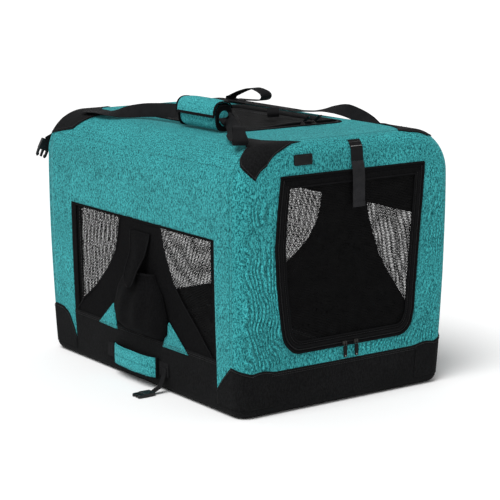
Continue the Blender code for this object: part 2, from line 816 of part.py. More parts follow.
def make_top_door():
    ring_plate(
        "top_zip_track",
        top_outline(0.0),
        top_outline(-ZIP_TAPE),
        roof_place,
        0.0,
        CLOTH,
        black("top_zip_tape", 0.6),
    )
    outer, inner = top_outline(-ZIP_TAPE - SEAM), top_outline(-ZIP_TAPE - DOOR_BORDER)
    door = ring_plate("top_door_border", outer, inner, roof_place, 0.0, DOOR_T, black("top_door_border"))
    hinge = (TOP_DOOR_X, TOP_DOOR_REAR - ZIP_TAPE - SEAM, HEIGHT)
    turn_about(door, hinge)
    shrink = ZIP_TAPE + DOOR_BORDER + SEAM
    low = (TOP_DOOR_X - TOP_DOOR_HALF + shrink, TOP_DOOR_FRONT + shrink)
    high = (TOP_DOOR_X + TOP_DOOR_HALF - shrink, TOP_DOOR_REAR - shrink)
    shape = round_corners(low, high, TOP_DOOR_R - shrink)
    screen = net("top_door_net", shape, low, high, (6, 9), roof_place, SEAM, black("top_net"))
    turn_about(screen, hinge)


def round_corners(low, high, radius):
    """Draws a net's corners in along a small radius."""
    centre = [(a + b) / 2 for a, b in zip(low, high)]
    half = [(b - a) / 2 for a, b in zip(low, high)]

    def inside(a, b):
        past = abs(b - centre[1]) - (half[1] - radius)
        reach = half[0]
        if past > 0:
            reach = half[0] - radius + math.sqrt(max(radius**2 - past**2, 0.0))
        return centre[0] + (a - centre[0]) * reach / half[0], b

    return inside


def make_patch(name, sx, sy):
    """A patch over the roof's round corner, with an arm along the roof edge and a lip on the end face."""
    low_turn = math.asin((PATCH_LOW_Z - ARC_Z) / TOP_R)
    stations = [(0.0, PATCH_ARM, 0.0)]
    stations += [(math.pi / 2 * k / CORNER_STEPS, 0.0, 0.0) for k in range(CORNER_STEPS + 1)]
    stations.append((math.pi / 2, 0.0, PATCH_LIP))
    near, far = [], []
    for lift, store in ((PATCH_STAND + PATCH_T, near), (PATCH_STAND, far)):
        for turn, arm, lip in stations:
            inset = EDGE_R - (EDGE_R + lift) * math.cos(turn) + lip
            back = EDGE_R - (EDGE_R + lift) * math.sin(turn) + arm
            for x, z in edge_run(low_turn, PATCH_HIGH_TURN, inset, TOP_STEPS):
                store.append(Vector((sx * x, sy * (half_length(z) - back), z)))
    faces = grid_faces(len(stations), TOP_STEPS + 1)
    add_mesh(name, *shell(near, far, faces), black(name + "_cloth"), smooth=True)


def make_handles():
    """Two webbing handles on the roof: the left one carries the padded wrap, the right one lies loose."""
    web = WEB_WIDTH
    end_x = HANDLE_AXIS_X - web / 2
    end_z = arc_height(HANDLE_AXIS_X - web) + 2 * SEAM + WEB_T / 2
    lie_z = HEIGHT + SEAM + WEB_T
    wrap_z = HEIGHT + WRAP_LIFT + WRAP_HEIGHT / 2
    half = WRAP_LENGTH / 2
    stops = [
        (-end_x, HANDLE_END_Y, end_z),
        (-end_x, HANDLE_END_Y - HANDLE_SEWN, end_z + 0.001),
        (-end_x + 0.005, HANDLE_END_Y * 0.62, lie_z + 0.006),
        (WRAP_X - 0.012, HANDLE_END_Y * 0.372, lie_z + 0.016),
        (WRAP_X, WRAP_Y + half + 0.014, wrap_z),
        (WRAP_X, WRAP_Y + half + 0.002, wrap_z),
        (WRAP_X, WRAP_Y, wrap_z),
        (WRAP_X, WRAP_Y - half - 0.002, wrap_z),
        (WRAP_X, WRAP_Y - half - 0.014, wrap_z),
        (WRAP_X - 0.020, -HANDLE_END_Y * 0.72, lie_z + 0.012),
        (-end_x, -HANDLE_END_Y + HANDLE_SEWN, end_z + 0.001),
        (-end_x, -HANDLE_END_Y, end_z),
    ]
    path = smooth_path(stops)
    band("left_handle_strap", path, [(1, 0, 0)] * len(path), web, WEB_T, black("left_handle_web", 0.7))
    make_wrap(wrap_z)
    stops = [
        (end_x, -HANDLE_END_Y, end_z),
        (end_x, -HANDLE_END_Y + HANDLE_SEWN, end_z + 0.001),
        (end_x * 0.995, -HANDLE_END_Y * 0.76, lie_z + 0.005),
        (end_x * 0.975, -HANDLE_END_Y * 0.60, lie_z + 0.014),
        (end_x * 0.938, -HANDLE_END_Y * 0.43, lie_z + 0.020),
        (end_x * 0.886, -HANDLE_END_Y * 0.26, lie_z + 0.014),
        (end_x * 0.834, -HANDLE_END_Y * 0.12, lie_z + 0.006),
        (end_x * 0.811, HANDLE_END_Y * 0.06, lie_z + 0.003),
        (end_x * 0.811, HANDLE_END_Y * 0.40, lie_z + 0.003),
        (end_x * 0.811, HANDLE_END_Y * 0.76, lie_z + 0.003),
        (end_x * 0.811, HANDLE_END_Y * 0.87, lie_z + 0.004),
        (end_x * 0.815, HANDLE_END_Y * 0.895, lie_z + 0.010),
        (end_x * 0.830, HANDLE_END_Y * 0.86, lie_z + 0.017),
        (end_x * 0.875, HANDLE_END_Y * 0.77, lie_z + 0.030),
        (end_x * 0.920, HANDLE_END_Y * 0.69, lie_z + 0.036),
        (end_x * 0.965, HANDLE_END_Y * 0.615, lie_z + 0.028),
        (end_x * 0.985, HANDLE_END_Y * 0.60, lie_z + 0.017),
        (end_x * 0.997, HANDLE_END_Y * 0.65, lie_z + 0.007),
        (end_x, HANDLE_END_Y * 0.76, lie_z + 0.0035),
        (end_x, HANDLE_END_Y - HANDLE_SEWN, end_z + 0.001),
        (end_x, HANDLE_END_Y, end_z),
    ]
    path = smooth_path(stops)
    band("right_handle_strap", path, [(1, 0, 0)] * len(path), web, WEB_T, black("right_handle_web", 0.7))


def make_wrap(middle_z):
    """The padded wrap round the left handle, with a slot for its webbing."""
    rings = []
    for share, shrink in ((-1.0, 0.006), (-0.92, 0.0), (0.0, -0.001), (0.92, 0.0), (1.0, 0.006)):
        half_a, half_b = WRAP_WIDTH / 2 - shrink, WRAP_HEIGHT / 2 - shrink
        shape = rounded_box(half_a, half_b, min(half_a, half_b) * 0.8)
        y = WRAP_Y + share * WRAP_LENGTH / 2
        rings.append([Vector((WRAP_X + a, y, middle_z + b)) for a, b in shape])
    points, faces = loft(rings)
    wrap = add_mesh("handle_wrap", points, faces, cloth("wrap_cloth"), smooth=True)
    room_a, room_b = WEB_WIDTH / 2 + RUN, WEB_T / 2 + 4 * RUN
    low = (WRAP_X - room_a, WRAP_Y - WRAP_LENGTH, middle_z - room_b)
    high = (WRAP_X + room_a, WRAP_Y + WRAP_LENGTH, middle_z + room_b)
    cut(wrap, cutter("wrap_slot", *box_points(low, high)))
    turn_about(wrap, (WRAP_X, WRAP_Y, middle_z))


def make_tie():
    """The strap that holds the rolled door: sewn at the front's top edge, then loose over the door."""
    lift = SEAM + WEB_T / 2
    loose = TIE_SEWN_Z
    path = [Vector((TIE_X, -half_length(z) - lift, z)) for z in (loose, HEIGHT - EDGE_R)]
    for k in range(1, CORNER_STEPS):
        turn = math.pi / 2 * k / CORNER_STEPS
        z = HEIGHT - EDGE_R + (EDGE_R + lift) * math.sin(turn)
        y = -(half_length(min(z, HEIGHT)) - EDGE_R) - (EDGE_R + lift) * math.cos(turn)
        path.append(Vector((TIE_X, y, z)))
    band("front_tie_seat", path, [(1, 0, 0)] * len(path), WEB_WIDTH, WEB_T, black("tie_seat_web", 0.7))
    stand = -half_length(WIDEST_Z) - lift - TIE_STAND
    path = [Vector((TIE_X, stand, TIE_END_Z + (loose - TIE_END_Z) * share)) for share in (0.0, 0.45, 0.9)]
    path.append(Vector((TIE_X, -half_length(loose) - lift - SEAM, loose - SEAM)))
    tie = band("front_tie", path, [(1, 0, 0)] * len(path), WEB_WIDTH, WEB_T, black("tie_web", 0.7))
    turn_about(tie, path[-1] - Vector((0.0, WEB_T / 2, 0.0)))


def make_tag():
    """The blank name tag on the front face, above the door."""
    low_z, high_z = TAG_Z - TAG_HEIGHT / 2, TAG_Z + TAG_HEIGHT / 2
    skin = -half_length(low_z) - SEAM
    low = (TAG_X - TAG_WIDTH / 2, skin - TAG_T, low_z)
    add_mesh("name_tag", *box_points(low, (TAG_X + TAG_WIDTH / 2, skin, high_z)), black("tag_rubber", 0.5))


def make_pouch():
    """A soft pocket that bulges at its foot, open at its mouth, with a hanging flap above it."""
    shares = (0.0, 0.12, 0.35, 0.7, 1.0)
    widths = (0.86, 1.0, 1.0, 0.85, POUCH_MOUTH_HALF / POUCH_HALF)
    depths = (0.55, 0.95, 1.0, 0.8, POUCH_MOUTH_DEPTH / POUCH_DEPTH)

    def ring(share, width, depth, wall):
        z = POUCH_LOW_Z + (POUCH_TOP_Z - POUCH_LOW_Z) * share + (wall if share == 0.0 else 0.0)
        skin = half_width(z) + SEAM
        half = POUCH_HALF * width - wall
        deep = POUCH_DEPTH * depth - wall
        out = [Vector((-(skin + wall), POUCH_Y - half, z))]
        for i in range(7):
            turn = math.pi * i / 6
            y = POUCH_Y - half * math.cos(turn)
            out.append(Vector((-(skin + deep * (0.25 + 0.75 * math.sin(turn))), y, z)))
        return out + [Vector((-(skin + wall), POUCH_Y + half, z))]

    rings = [ring(s, w, d, 0.0) for s, w, d in zip(shares, widths, depths)]
    rings += [ring(s, w, d, POUCH_WALL) for s, w, d in reversed(list(zip(shares, widths, depths)))]
    points, faces = loft(rings)
    add_mesh("side_pouch", points, faces, black("pouch_cloth"), smooth=True)
    near, far = [], []
    swell = POUCH_MOUTH_DEPTH + FLAP_GAP
    stops = ((FLAP_TOP_Z, 0.0), (FLAP_TOP_Z - 0.012, 0.001), (POUCH_TOP_Z + 0.034, swell * 0.45),
             (POUCH_TOP_Z, swell), (FLAP_TIP_Z, POUCH_DEPTH))
    for z, clear in stops:
        skin = half_width(z) + SEAM + clear
        share = (FLAP_TOP_Z - z) / (FLAP_TOP_Z - FLAP_TIP_Z)
        half = FLAP_HALF + (FLAP_TIP_HALF - FLAP_HALF) * share
        for end in (-1, 1):
            near.append(Vector((-skin - FLAP_T, POUCH_Y + end * half, z)))
            far.append(Vector((-skin, POUCH_Y + end * half, z)))
    flap = add_mesh("pouch_flap", *shell(near, far, grid_faces(len(stops), 2)), black("flap_cloth"))
    turn_about(flap, (-(half_width(FLAP_TOP_Z) + SEAM + FLAP_T), POUCH_Y, FLAP_TOP_Z))


def make_fold_handle():
    """The short handle on the base band: webbing sewn down at both ends, with a pad over its middle."""
    half = PAD_LENGTH / 2
    skin = half_width(PAD_Z + PAD_HEIGHT / 2) + SEAM
    rings = []
    for share in (-1.0, -0.8, -0.4, 0.0, 0.4, 0.8, 1.0):
        out = skin + PAD_STANDOFF * (1 - share**4) + WEB_T + 2 * SEAM
        y = PAD_Y + share * half
        low, high = PAD_Z - PAD_HEIGHT / 2, PAD_Z + PAD_HEIGHT / 2
        section = ((out, low), (out + PAD_T, low), (out + PAD_T, high), (out, high))
        rings.append([Vector((-x, y, z)) for x, z in section])
    points, faces = loft(rings)
    pad = add_mesh("fold_handle_pad", points, faces, cloth("pad_cloth"))
    turn_about(pad, (-(skin + PAD_STANDOFF), PAD_Y, PAD_Z))
    path = []
    for share in (-1.0 - PAD_END / half, -1.0, -0.8, -0.4, 0.0, 0.4, 0.8, 1.0, 1.0 + PAD_END / half):
        stand = PAD_STANDOFF * max(1 - share**4, 0.0)
        path.append(Vector((-(skin + stand + WEB_T / 2), PAD_Y + share * half, PAD_Z)))
    band("fold_handle_web", path, [(0, 0, 1)] * len(path), WEB_WIDTH, WEB_T, black("fold_handle_web", 0.7))


def make_buckle(name, centre, ahead, across, look):
    """A side-release buckle's plug: a body with two prongs beside a middle tongue."""
    ahead, across = Vector(ahead).normalized(), Vector(across).normalized()
    up = ahead.cross(across)
    half, length = BUCKLE_WIDTH / 2, BUCKLE_LENGTH
    outline = [(-0.5, -0.85), (0.02, -1.0), (0.42, -0.95), (0.5, -0.7), (0.42, -0.5), (0.10, -0.55), (0.06, -0.16),
               (0.46, -0.14), (0.46, 0.14), (0.06, 0.16), (0.10, 0.55), (0.42, 0.5), (0.5, 0.7), (0.42, 0.95),
               (0.02, 1.0), (-0.5, 0.85)]
    rings = []
    for lift in (-BUCKLE_T / 2, BUCKLE_T / 2):
        middle = Vector(centre) + up * lift
        rings.append([middle + ahead * (a * length) + across * (b * half) for a, b in outline])
    return add_mesh(name, *loft(rings), look)


def make_closure():
    """The short strap at the fold handle's front end, whose buckle lies on the ground."""
    skin = half_width(PAD_Z + PAD_HEIGHT / 2) + SEAM + WEB_T + SEAM
    lift = WEB_T / 2
    ground = BUCKLE_T / 2
    stops = [
        (-skin - lift, CLOSURE_Y, CLOSURE_Z),
        (-skin - lift - 0.002, CLOSURE_Y, CLOSURE_Z - 0.018),
        (-skin - lift - 0.010, CLOSURE_Y + 0.002, CLOSURE_Z - 0.040),
        (-skin - lift - CLOSURE_REACH, CLOSURE_Y + 0.004, ground + WEB_T),
    ]
    path = smooth_path(stops)
    strap = band(
        "closure_strap", path, [(0, 1, 0)] * len(path), BUCKLE_WIDTH * 0.8, WEB_T, black("closure_web", 0.7)
    )
    turn_about(strap, stops[0])
    centre = Vector(stops[-1]) + Vector((-BUCKLE_LENGTH / 2 - BUCKLE_GAP - WEB_T / 2, 0.0, -WEB_T))
    buckle = make_buckle("closure_buckle", centre, (-1, 0, 0), (0, 1, 0), black("closure_plastic", 0.4))
    turn_about(buckle, centre + Vector((BUCKLE_LENGTH / 2 + BUCKLE_GAP / 2, 0.0, BUCKLE_T / 2)))


def make_rear_strap():
    """The short webbing and buckle at the rear left upper corner, and the folded loop at the front one."""
    x = -(ARC_X + TOP_R * 0.55)
    skin = half_length(ROOF_SEAM_Z) + PATCH_STAND + PATCH_T + SEAM
    top = ROOF_SEAM_Z
    stops = [
        (x, skin + WEB_T / 2, top),
        (x, skin + WEB_T / 2 + 0.004, top - 0.010),
        (x, skin + WEB_T / 2 + 0.010, top - REAR_STRAP_DROP),
    ]
    path = smooth_path(stops)
    strap = band(
        "rear_corner_strap", path, [(1, 0, 0)] * len(path), BUCKLE_WIDTH * 0.8, WEB_T, black("corner_web", 0.7)
    )
    turn_about(strap, Vector(stops[0]) + Vector((0.0, WEB_T / 2, 0.0)))
    ahead = Vector((0.0, 0.30, -1.0)).normalized()
    centre = Vector(stops[-1]) + ahead * (BUCKLE_LENGTH / 2 + BUCKLE_GAP)
    buckle = make_buckle("rear_corner_buckle", centre, ahead, (1, 0, 0), black("corner_plastic", 0.4))
    out = ahead.cross(Vector((1.0, 0.0, 0.0))) * -1
    sign = 1 if out.y > 0 else -1
    turn_about(buckle, Vector(stops[-1]) + ahead * BUCKLE_GAP / 2 + out * BUCKLE_T / 2 * sign)
    x = -(ARC_X + TOP_R * 0.50)
    y = -(HANDLE_END_Y + LOOP_HALF_LENGTH + 2 * WEB_T)
    low = arc_height(abs(x) - WEB_WIDTH / 2) + PATCH_STAND + PATCH_T + SEAM
    shape = rounded_box(LOOP_HALF_LENGTH, LOOP_HALF_HEIGHT, 0.006, 2)
    outline = [(a + y, b + low + LOOP_HALF_HEIGHT) for a, b in shape]
    near, far = x - WEB_WIDTH / 2, x + WEB_WIDTH / 2
    loop = prism("front_corner_loop", outline, along_x, near, far, black("loop_web", 0.7))
    hole = [(a * 0.7 + y, b * 0.7 + low + LOOP_HALF_HEIGHT) for a, b in shape]
    cut(loop, prism("front_loop_hole", hole, along_x, x - WEB_WIDTH, x + WEB_WIDTH))


def make_zip(name, middle, along, down, out, spacing):
    """Two sliders that meet on a zip track, each with a pull that hangs off it."""
    middle, along, down, out = Vector(middle), Vector(along), Vector(down), Vector(out)
    for side, sign in (("left", -1), ("right", 1)):
        centre = middle + along * sign * spacing / 2 + out * (SEAM + SLIDER_T / 2)
        rings = []
        for lift in (-0.5, 0.5):
            shape = rounded_box(SLIDER_LENGTH / 2, SLIDER_WIDTH / 2, 0.002, 2)
            rings.append([centre + along * a + down * b + out * (lift * SLIDER_T) for a, b in shape])
        slider = add_mesh(f"{name}_zip_slider_{side}", *loft(rings), steel(f"{name}_slider_{side}_metal"))
        turn_about(slider, centre)
        top = centre + out * (SLIDER_T / 2 + PULL_STAND + PULL_T / 2) - down * (SLIDER_WIDTH * 0.35)
        rings = []
        for lift in (-0.5, 0.5):
            shape = rounded_box(PULL_WIDTH / 2, PULL_LENGTH / 2, 0.003, 2)
            hang = top + down * (PULL_LENGTH / 2) + out * (lift * PULL_T)
            rings.append([hang + along * a + down * b for a, b in shape])
        pull = add_mesh(f"{name}_zip_pull_{side}", *loft(rings), black(f"{name}_pull_{side}_rubber", 0.5))
        turn_about(pull, top + down * PULL_T / 2)


make_base_tub()
make_frame()
make_board()
for side_name, side_sign in (("left", -1), ("right", 1)):
    make_clip(f"front_{side_name}_clip", side_sign, -1, FRONT_LEG_X)
    make_clip(f"rear_{side_name}_clip", side_sign, 1, REAR_LEG_X)
    make_bracket(f"front_{side_name}_bracket", side_sign, -1)
    make_bracket(f"rear_{side_name}_bracket", side_sign, 1)
    make_patch(f"front_{side_name}_patch", side_sign, -1)
    make_patch(f"rear_{side_name}_patch", side_sign, 1)
make_walls()
make_roof()
make_nets()
make_door()
make_top_door()
make_handles()
make_tie()
make_tag()
make_pouch()
make_fold_handle()
make_closure()
make_rear_strap()
door_foot = DOOR_LOW_Z + ZIP_TAPE / 2
make_zip("front", (DOOR_X, front_skin(door_foot), door_foot), (1, 0, 0), (0, 0, -1), (0, -1, 0), SLIDER_SPACING)
zip_line = TOP_DOOR_FRONT + ZIP_TAPE / 2
make_zip("top", (0.055, zip_line, HEIGHT), (1, 0, 0), (0, -1, 0), (0, 0, 1), SLIDER_SPACING)
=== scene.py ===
"""Dresses the canvas dog crate: woven teal cloth, black base, fine nets, zips, webbing and padded pieces."""

import math

import bpy
import numpy as np
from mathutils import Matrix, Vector, noise


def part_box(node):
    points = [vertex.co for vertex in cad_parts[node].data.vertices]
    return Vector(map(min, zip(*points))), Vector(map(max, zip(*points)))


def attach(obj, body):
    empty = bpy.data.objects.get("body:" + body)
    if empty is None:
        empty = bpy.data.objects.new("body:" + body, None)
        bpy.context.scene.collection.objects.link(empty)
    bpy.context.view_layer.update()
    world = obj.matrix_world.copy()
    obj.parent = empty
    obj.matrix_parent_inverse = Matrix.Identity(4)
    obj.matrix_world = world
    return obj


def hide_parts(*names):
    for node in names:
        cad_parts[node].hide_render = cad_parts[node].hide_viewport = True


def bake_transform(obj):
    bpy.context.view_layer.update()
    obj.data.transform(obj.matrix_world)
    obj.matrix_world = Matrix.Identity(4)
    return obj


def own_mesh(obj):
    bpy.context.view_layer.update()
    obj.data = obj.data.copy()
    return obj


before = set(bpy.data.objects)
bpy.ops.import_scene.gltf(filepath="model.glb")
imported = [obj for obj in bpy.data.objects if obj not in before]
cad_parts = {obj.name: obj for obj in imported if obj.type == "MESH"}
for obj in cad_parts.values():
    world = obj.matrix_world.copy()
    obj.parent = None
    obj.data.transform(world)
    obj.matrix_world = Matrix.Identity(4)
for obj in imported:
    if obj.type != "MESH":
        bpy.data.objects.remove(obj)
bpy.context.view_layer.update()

QUARTER, TURN = math.pi / 2, 2 * math.pi
X_AXIS, Y_AXIS, Z_AXIS = np.eye(3)
SIDES = (("left", -1), ("right", 1))
ENDS = (("front", -1), ("rear", 1))

# The cover's shape, as in the part
LENGTH, WIDTH, HEIGHT = 0.810, 0.580, 0.580
EDGE_R, TOP_R, BASE_EDGE_R = 0.031, 0.096, 0.020
WIDEST_Z, BASE_INSET, TOP_INSET = 0.438, 0.012, 0.005
FRONT_BAND, SIDE_BAND, SEAM_Z, TEAL_LOW = 0.097, 0.118, 0.530, 0.046
ARC_X, ARC_Z = WIDTH / 2 - TOP_R, HEIGHT - TOP_R
DOOR_X, DOOR_LOW, DOOR_TOP, DOOR_HALF, DOOR_R = 0.008, 0.130, 0.510, 0.200, 0.058
WINDOW_Y0, WINDOW_Y1, WINDOW_TOP = -0.313, 0.277, 0.377
TOP_X, TOP_HALF, TOP_Y0, TOP_Y1, TOP_CORNER = 0.012, 0.150, -0.190, 0.230, 0.035
POUCH_Y, TIE_X, SEWN_X = -0.027, 0.0195, 0.2195
DOOR_CENTRE, TOP_CENTRE = (DOOR_X, 0.32), (TOP_X, 0.02)

# Thickness of cloth and webbing, depth of the nets, and widths of the zip tapes, borders and straps
CLOTH, WEB, NET_DEPTH, DOOR_DEPTH = 0.0028, 0.0018, 0.0034, 0.0022
TAPE, BORDER, ROOF_BORDER, STRAP = 0.008, 0.014, 0.024, 0.033

# Camera at the photograph's angle
eye, aim = Vector((-2.334, -3.296, 1.083)), Vector((0.0286, 0.0, 0.2687))
camera_data = bpy.data.cameras.new("camera")
camera_data.lens = 127.1
camera_data.sensor_width = 36.0
camera = bpy.data.objects.new("camera", camera_data)
camera.location = eye
camera.rotation_euler = (aim - eye).to_track_quat("-Z", "Y").to_euler()
bpy.context.scene.collection.objects.link(camera)
bpy.context.scene.camera = camera


# Materials
def add_node(tree, kind, *inputs, **settings):
    """A new node: inputs gives each input's name or number with its source or value."""
    made = tree.nodes.new("ShaderNode" + kind)
    for label, value in settings.items():
        setattr(made, label, value)
    for place, source in inputs:
        if isinstance(source, bpy.types.NodeSocket):
            tree.links.new(source, made.inputs[place])
        else:
            made.inputs[place].default_value = source
    return made


def calculate(tree, operation, *values):
    return add_node(tree, "Math", *enumerate(values), operation=operation).outputs[0]


def noise_node(tree, source, scale, detail=2.0, rough=0.55, stretch=None):
    if stretch:
        source = add_node(tree, "Mapping", ("Scale", stretch), ("Vector", source)).outputs["Vector"]
    values = ("Scale", scale), ("Detail", detail), ("Roughness", rough), ("Vector", source)
    return add_node(tree, "TexNoise", *values).outputs["Fac"]


def ramp_node(tree, source, *stops):
    """A ramp between two stops of place and colour, where a single number is a grey."""
    made = add_node(tree, "ValToRGB", ("Fac", source))
    for element, (place, colour) in zip(made.color_ramp.elements, stops):
        element.position = place
        element.color = (*colour, 1.0) if isinstance(colour, tuple) else (colour, colour, colour, 1.0)
    return made.outputs["Color"]


def multiply(tree, a, b):
    pairs = ("Factor", 1.0), ("A", a), ("B", b)
    return add_node(tree, "Mix", *pairs, data_type="RGBA", blend_type="MULTIPLY").outputs["Result"]


def new_material(name, roughness, metallic=0.0, sheen=0.0, specular=0.5):
    made = bpy.data.materials.new(name)
    made.use_nodes = True
    shader = made.node_tree.nodes["Principled BSDF"]
    values = {"Roughness": roughness, "Metallic": metallic, "Sheen Weight": sheen}
    values["Specular IOR Level"] = specular
    for label, value in values.items():
        shader.inputs[label].default_value = value
    return made, made.node_tree, shader


def finish_look(tree, shader, colour, height, strength, distance):
    """Sets a material's colour and the bump that its grain gives."""
    tree.links.new(colour, shader.inputs["Base Color"])
    bump = add_node(tree, "Bump", ("Strength", strength), ("Distance", distance), ("Height", height))
    tree.links.new(bump.outputs["Normal"], shader.inputs["Normal"])


def woven(name, dark, light, grain, sheen=0.0, bump=0.5, wear=0.07, specular=0.08, painted_fold_shade=0.0):
    """Woven polyester: threads of two tones, slubs along the weave, uneven wear, and painted shade in creases
    with painted highlight on the ridges between them.
    """
    made, tree, shader = new_material(name, 0.92, sheen=sheen, specular=specular)
    shader.inputs["Sheen Tint"].default_value = (0.30, 0.95, 1.0, 1.0)
    where = add_node(tree, "TexCoord").outputs["Object"]
    threads = noise_node(tree, where, grain, 3.0, 0.65)
    across = noise_node(tree, where, grain * 0.8, 2.0, 0.6, (1.0, 1.0, 0.45))
    weave = calculate(tree, "MULTIPLY", calculate(tree, "ADD", threads, across), 0.5)
    tone = ramp_node(tree, weave, (0.42, dark), (0.58, light))
    shade = ramp_node(tree, noise_node(tree, where, 9.0, 3.0, 0.6), (0.3, 1.0 - wear), (0.7, 1.0 + wear))
    colour = multiply(tree, tone, shade)
    # Painted shade and highlight: the colour darkens in fold troughs and lightens on fold ridges, by each
    # point's crease value.
    if painted_fold_shade:
        crease = add_node(tree, "Attribute", attribute_name="crease").outputs["Fac"]
        colour = multiply(tree, colour, calculate(tree, "MULTIPLY_ADD", crease, painted_fold_shade, 1.0))
    finish_look(tree, shader, colour, weave, bump, 0.0012)
    return made


def webbing(name, dark, light, pitch=0.0016):
    """Woven strap: ribs across its length, from its own coordinates in metres."""
    made, tree, shader = new_material(name, 0.85, specular=0.06)
    where = add_node(tree, "TexCoord").outputs
    values = ("Scale", 0.314 / pitch), ("Distortion", 1.2), ("Detail Scale", 60.0), ("Vector", where["UV"])
    ribs = add_node(tree, "TexWave", *values, wave_type="BANDS", bands_direction="X").outputs["Fac"]
    tone = ramp_node(tree, ribs, (0.2, dark), (0.85, light))
    shade = ramp_node(tree, noise_node(tree, where["Object"], 60.0, 3.0), (0.3, 0.8), (0.7, 1.2))
    finish_look(tree, shader, multiply(tree, tone, shade), ribs, 0.5, 0.0005)
    return made


def moulded(name, colour, roughness, metallic=0.0, specular=0.25):
    """Plastic, rubber or metal with a fine grain and slightly uneven polish."""
    made, tree, shader = new_material(name, roughness, metallic, specular=specular)
    where = add_node(tree, "TexCoord").outputs["Object"]
    grain = noise_node(tree, where, 260.0, 3.0)
    dark, light = (tuple(c * share for c in colour) for share in (0.82, 1.22))
    low, high = max(roughness - 0.08, 0.05), min(roughness + 0.10, 1.0)
    polish = ramp_node(tree, noise_node(tree, where, 40.0), (0.3, low), (0.7, high))
    tree.links.new(polish, shader.inputs["Roughness"])
    finish_look(tree, shader, ramp_node(tree, grain, (0.35, dark), (0.65, light)), grain, 0.15, 0.0003)
    return made


# The teal cloth gets painted shade in the troughs of its folds and painted highlight on their ridges.
teal = woven("teal_canvas", (0.0004, 0.052, 0.062), (0.054, 0.400, 0.416), 520, 0.20, 0.8, painted_fold_shade=0.40)
teal_pad = woven("teal_padding", (0.002, 0.090, 0.104), (0.072, 0.460, 0.480), 640, 0.16, 0.9)
lining = woven("black_lining", (0.0030, 0.0030, 0.0032), (0.0070, 0.0070, 0.0075), 520)
black = woven("black_canvas", (0.0030, 0.0031, 0.0033), (0.0080, 0.0082, 0.0086), 420, wear=0.2)
soft_black = woven("black_gusset_cloth", (0.0018, 0.0018, 0.002), (0.005, 0.005, 0.0054), 520, specular=0.05)
mat_cloth = woven("mat_cloth", (0.010, 0.010, 0.011), (0.022, 0.022, 0.024), 300)
net_thread = moulded("net_thread", (0.0032, 0.0032, 0.0034), 0.8, specular=0.07)
binding_tape = webbing("binding_tape", (0.0024, 0.0024, 0.0027), (0.0062, 0.0062, 0.0068), 0.0012)
strap_web = webbing("strap_webbing", (0.0045, 0.0045, 0.005), (0.0150, 0.0150, 0.0158))
tie_web = webbing("tie_webbing", (0.010, 0.010, 0.011), (0.030, 0.030, 0.032))
zip_coil = moulded("zip_coil", (0.010, 0.010, 0.011), 0.45)
slider_metal = moulded("slider_metal", (0.045, 0.043, 0.041), 0.34, 0.85)
pull_rubber = moulded("pull_rubber", (0.0050, 0.0050, 0.0054), 0.5, specular=0.08)
pull_eye = moulded("pull_eye", (0.34, 0.33, 0.32), 0.34, 0.8)
buckle_plastic = moulded("buckle_plastic", (0.010, 0.010, 0.011), 0.36)
socket_plastic = moulded("socket_plastic", (0.014, 0.014, 0.015), 0.45)
tube_steel = moulded("painted_tube", (0.030, 0.031, 0.033), 0.38, 0.6)
tag_rubber = moulded("tag_rubber", (0.0042, 0.0042, 0.0046), 0.5, specular=0.12)
teal_thread = moulded("teal_thread", (0.018, 0.185, 0.200), 0.8)
pale_thread = moulded("pale_thread", (0.40, 0.40, 0.39), 0.8)
black_thread = moulded("black_thread", (0.022, 0.022, 0.023), 0.7)


# Curves and outlines
def fade(value, low, high):
    t = np.clip((value - low) / (high - low), 0.0, 1.0)
    return t * t * (3 - 2 * t)


def power(value, exponent):
    return np.sign(value) * np.abs(value) ** exponent


def between(place, stops):
    """The value at a place, from stops of place and value."""
    return np.interp(place, *zip(*stops))


def spans(first, *parts):
    """Even steps from stop to stop: each part gives its last value and its count, both ends included."""
    out = [first]
    for last, count in parts:
        out += [*np.linspace(out[-1], last, count)[1:]]
    return np.array(out)


def unit(v):
    return v / np.maximum(np.linalg.norm(v, axis=-1, keepdims=True), 1e-12)


def oval(half_a, half_b, sides=8, bend=1.0, start=0.5):
    """Points round an oval, squared off where bend is below 1."""
    turns = TURN * (np.arange(sides) + start) / sides
    return np.stack([half_a * power(np.cos(turns), bend), half_b * power(np.sin(turns), bend)], -1)


def run_along(path):
    return np.concatenate([[0.0], np.cumsum(np.linalg.norm(np.diff(path, axis=0), axis=1))])


def resample(path, pitch, closed=False):
    path = np.asarray(path, float)
    if closed:
        path = np.concatenate([path, path[:1]])
    run = run_along(path)
    at = np.linspace(0, run[-1], max(round(run[-1] / pitch), 2) + 1)
    if closed:
        at = at[:-1]
    return np.column_stack([np.interp(at, run, values) for values in path.T])


def smooth_path(stops, per_span=8):
    """A smooth curve through the stops, by Catmull-Rom."""
    stops = np.asarray(stops, float)
    ends = np.concatenate([[2 * stops[0] - stops[1]], stops, [2 * stops[-1] - stops[-2]]])
    a, b, c, d = (ends[k : len(stops) - 1 + k, None] for k in range(4))
    t = (np.arange(per_span) / per_span)[:, None]
    out = 0.5 * (2 * b + (c - a) * t + (2 * a - 5 * b + 4 * c - d) * t**2 + (3 * b - a - 3 * c + d) * t**3)
    return np.concatenate([out.reshape(-1, 3), stops[-1:]])


def arc_points(cx, cy, radius, start, end, steps):
    turns = np.radians(np.linspace(start, end, steps + 1))
    return [(cx + radius * math.cos(t), cy + radius * math.sin(t)) for t in turns]


def rounded_rect(x0, x1, y0, y1, radius, steps=8):
    left, right, low, high = x0 + radius, x1 - radius, y0 + radius, y1 - radius
    out = []
    for quarter, (cx, cy) in enumerate(((right, high), (left, high), (left, low), (right, low))):
        out += arc_points(cx, cy, radius, 90 * quarter, 90 * quarter + 90, steps)
    return out


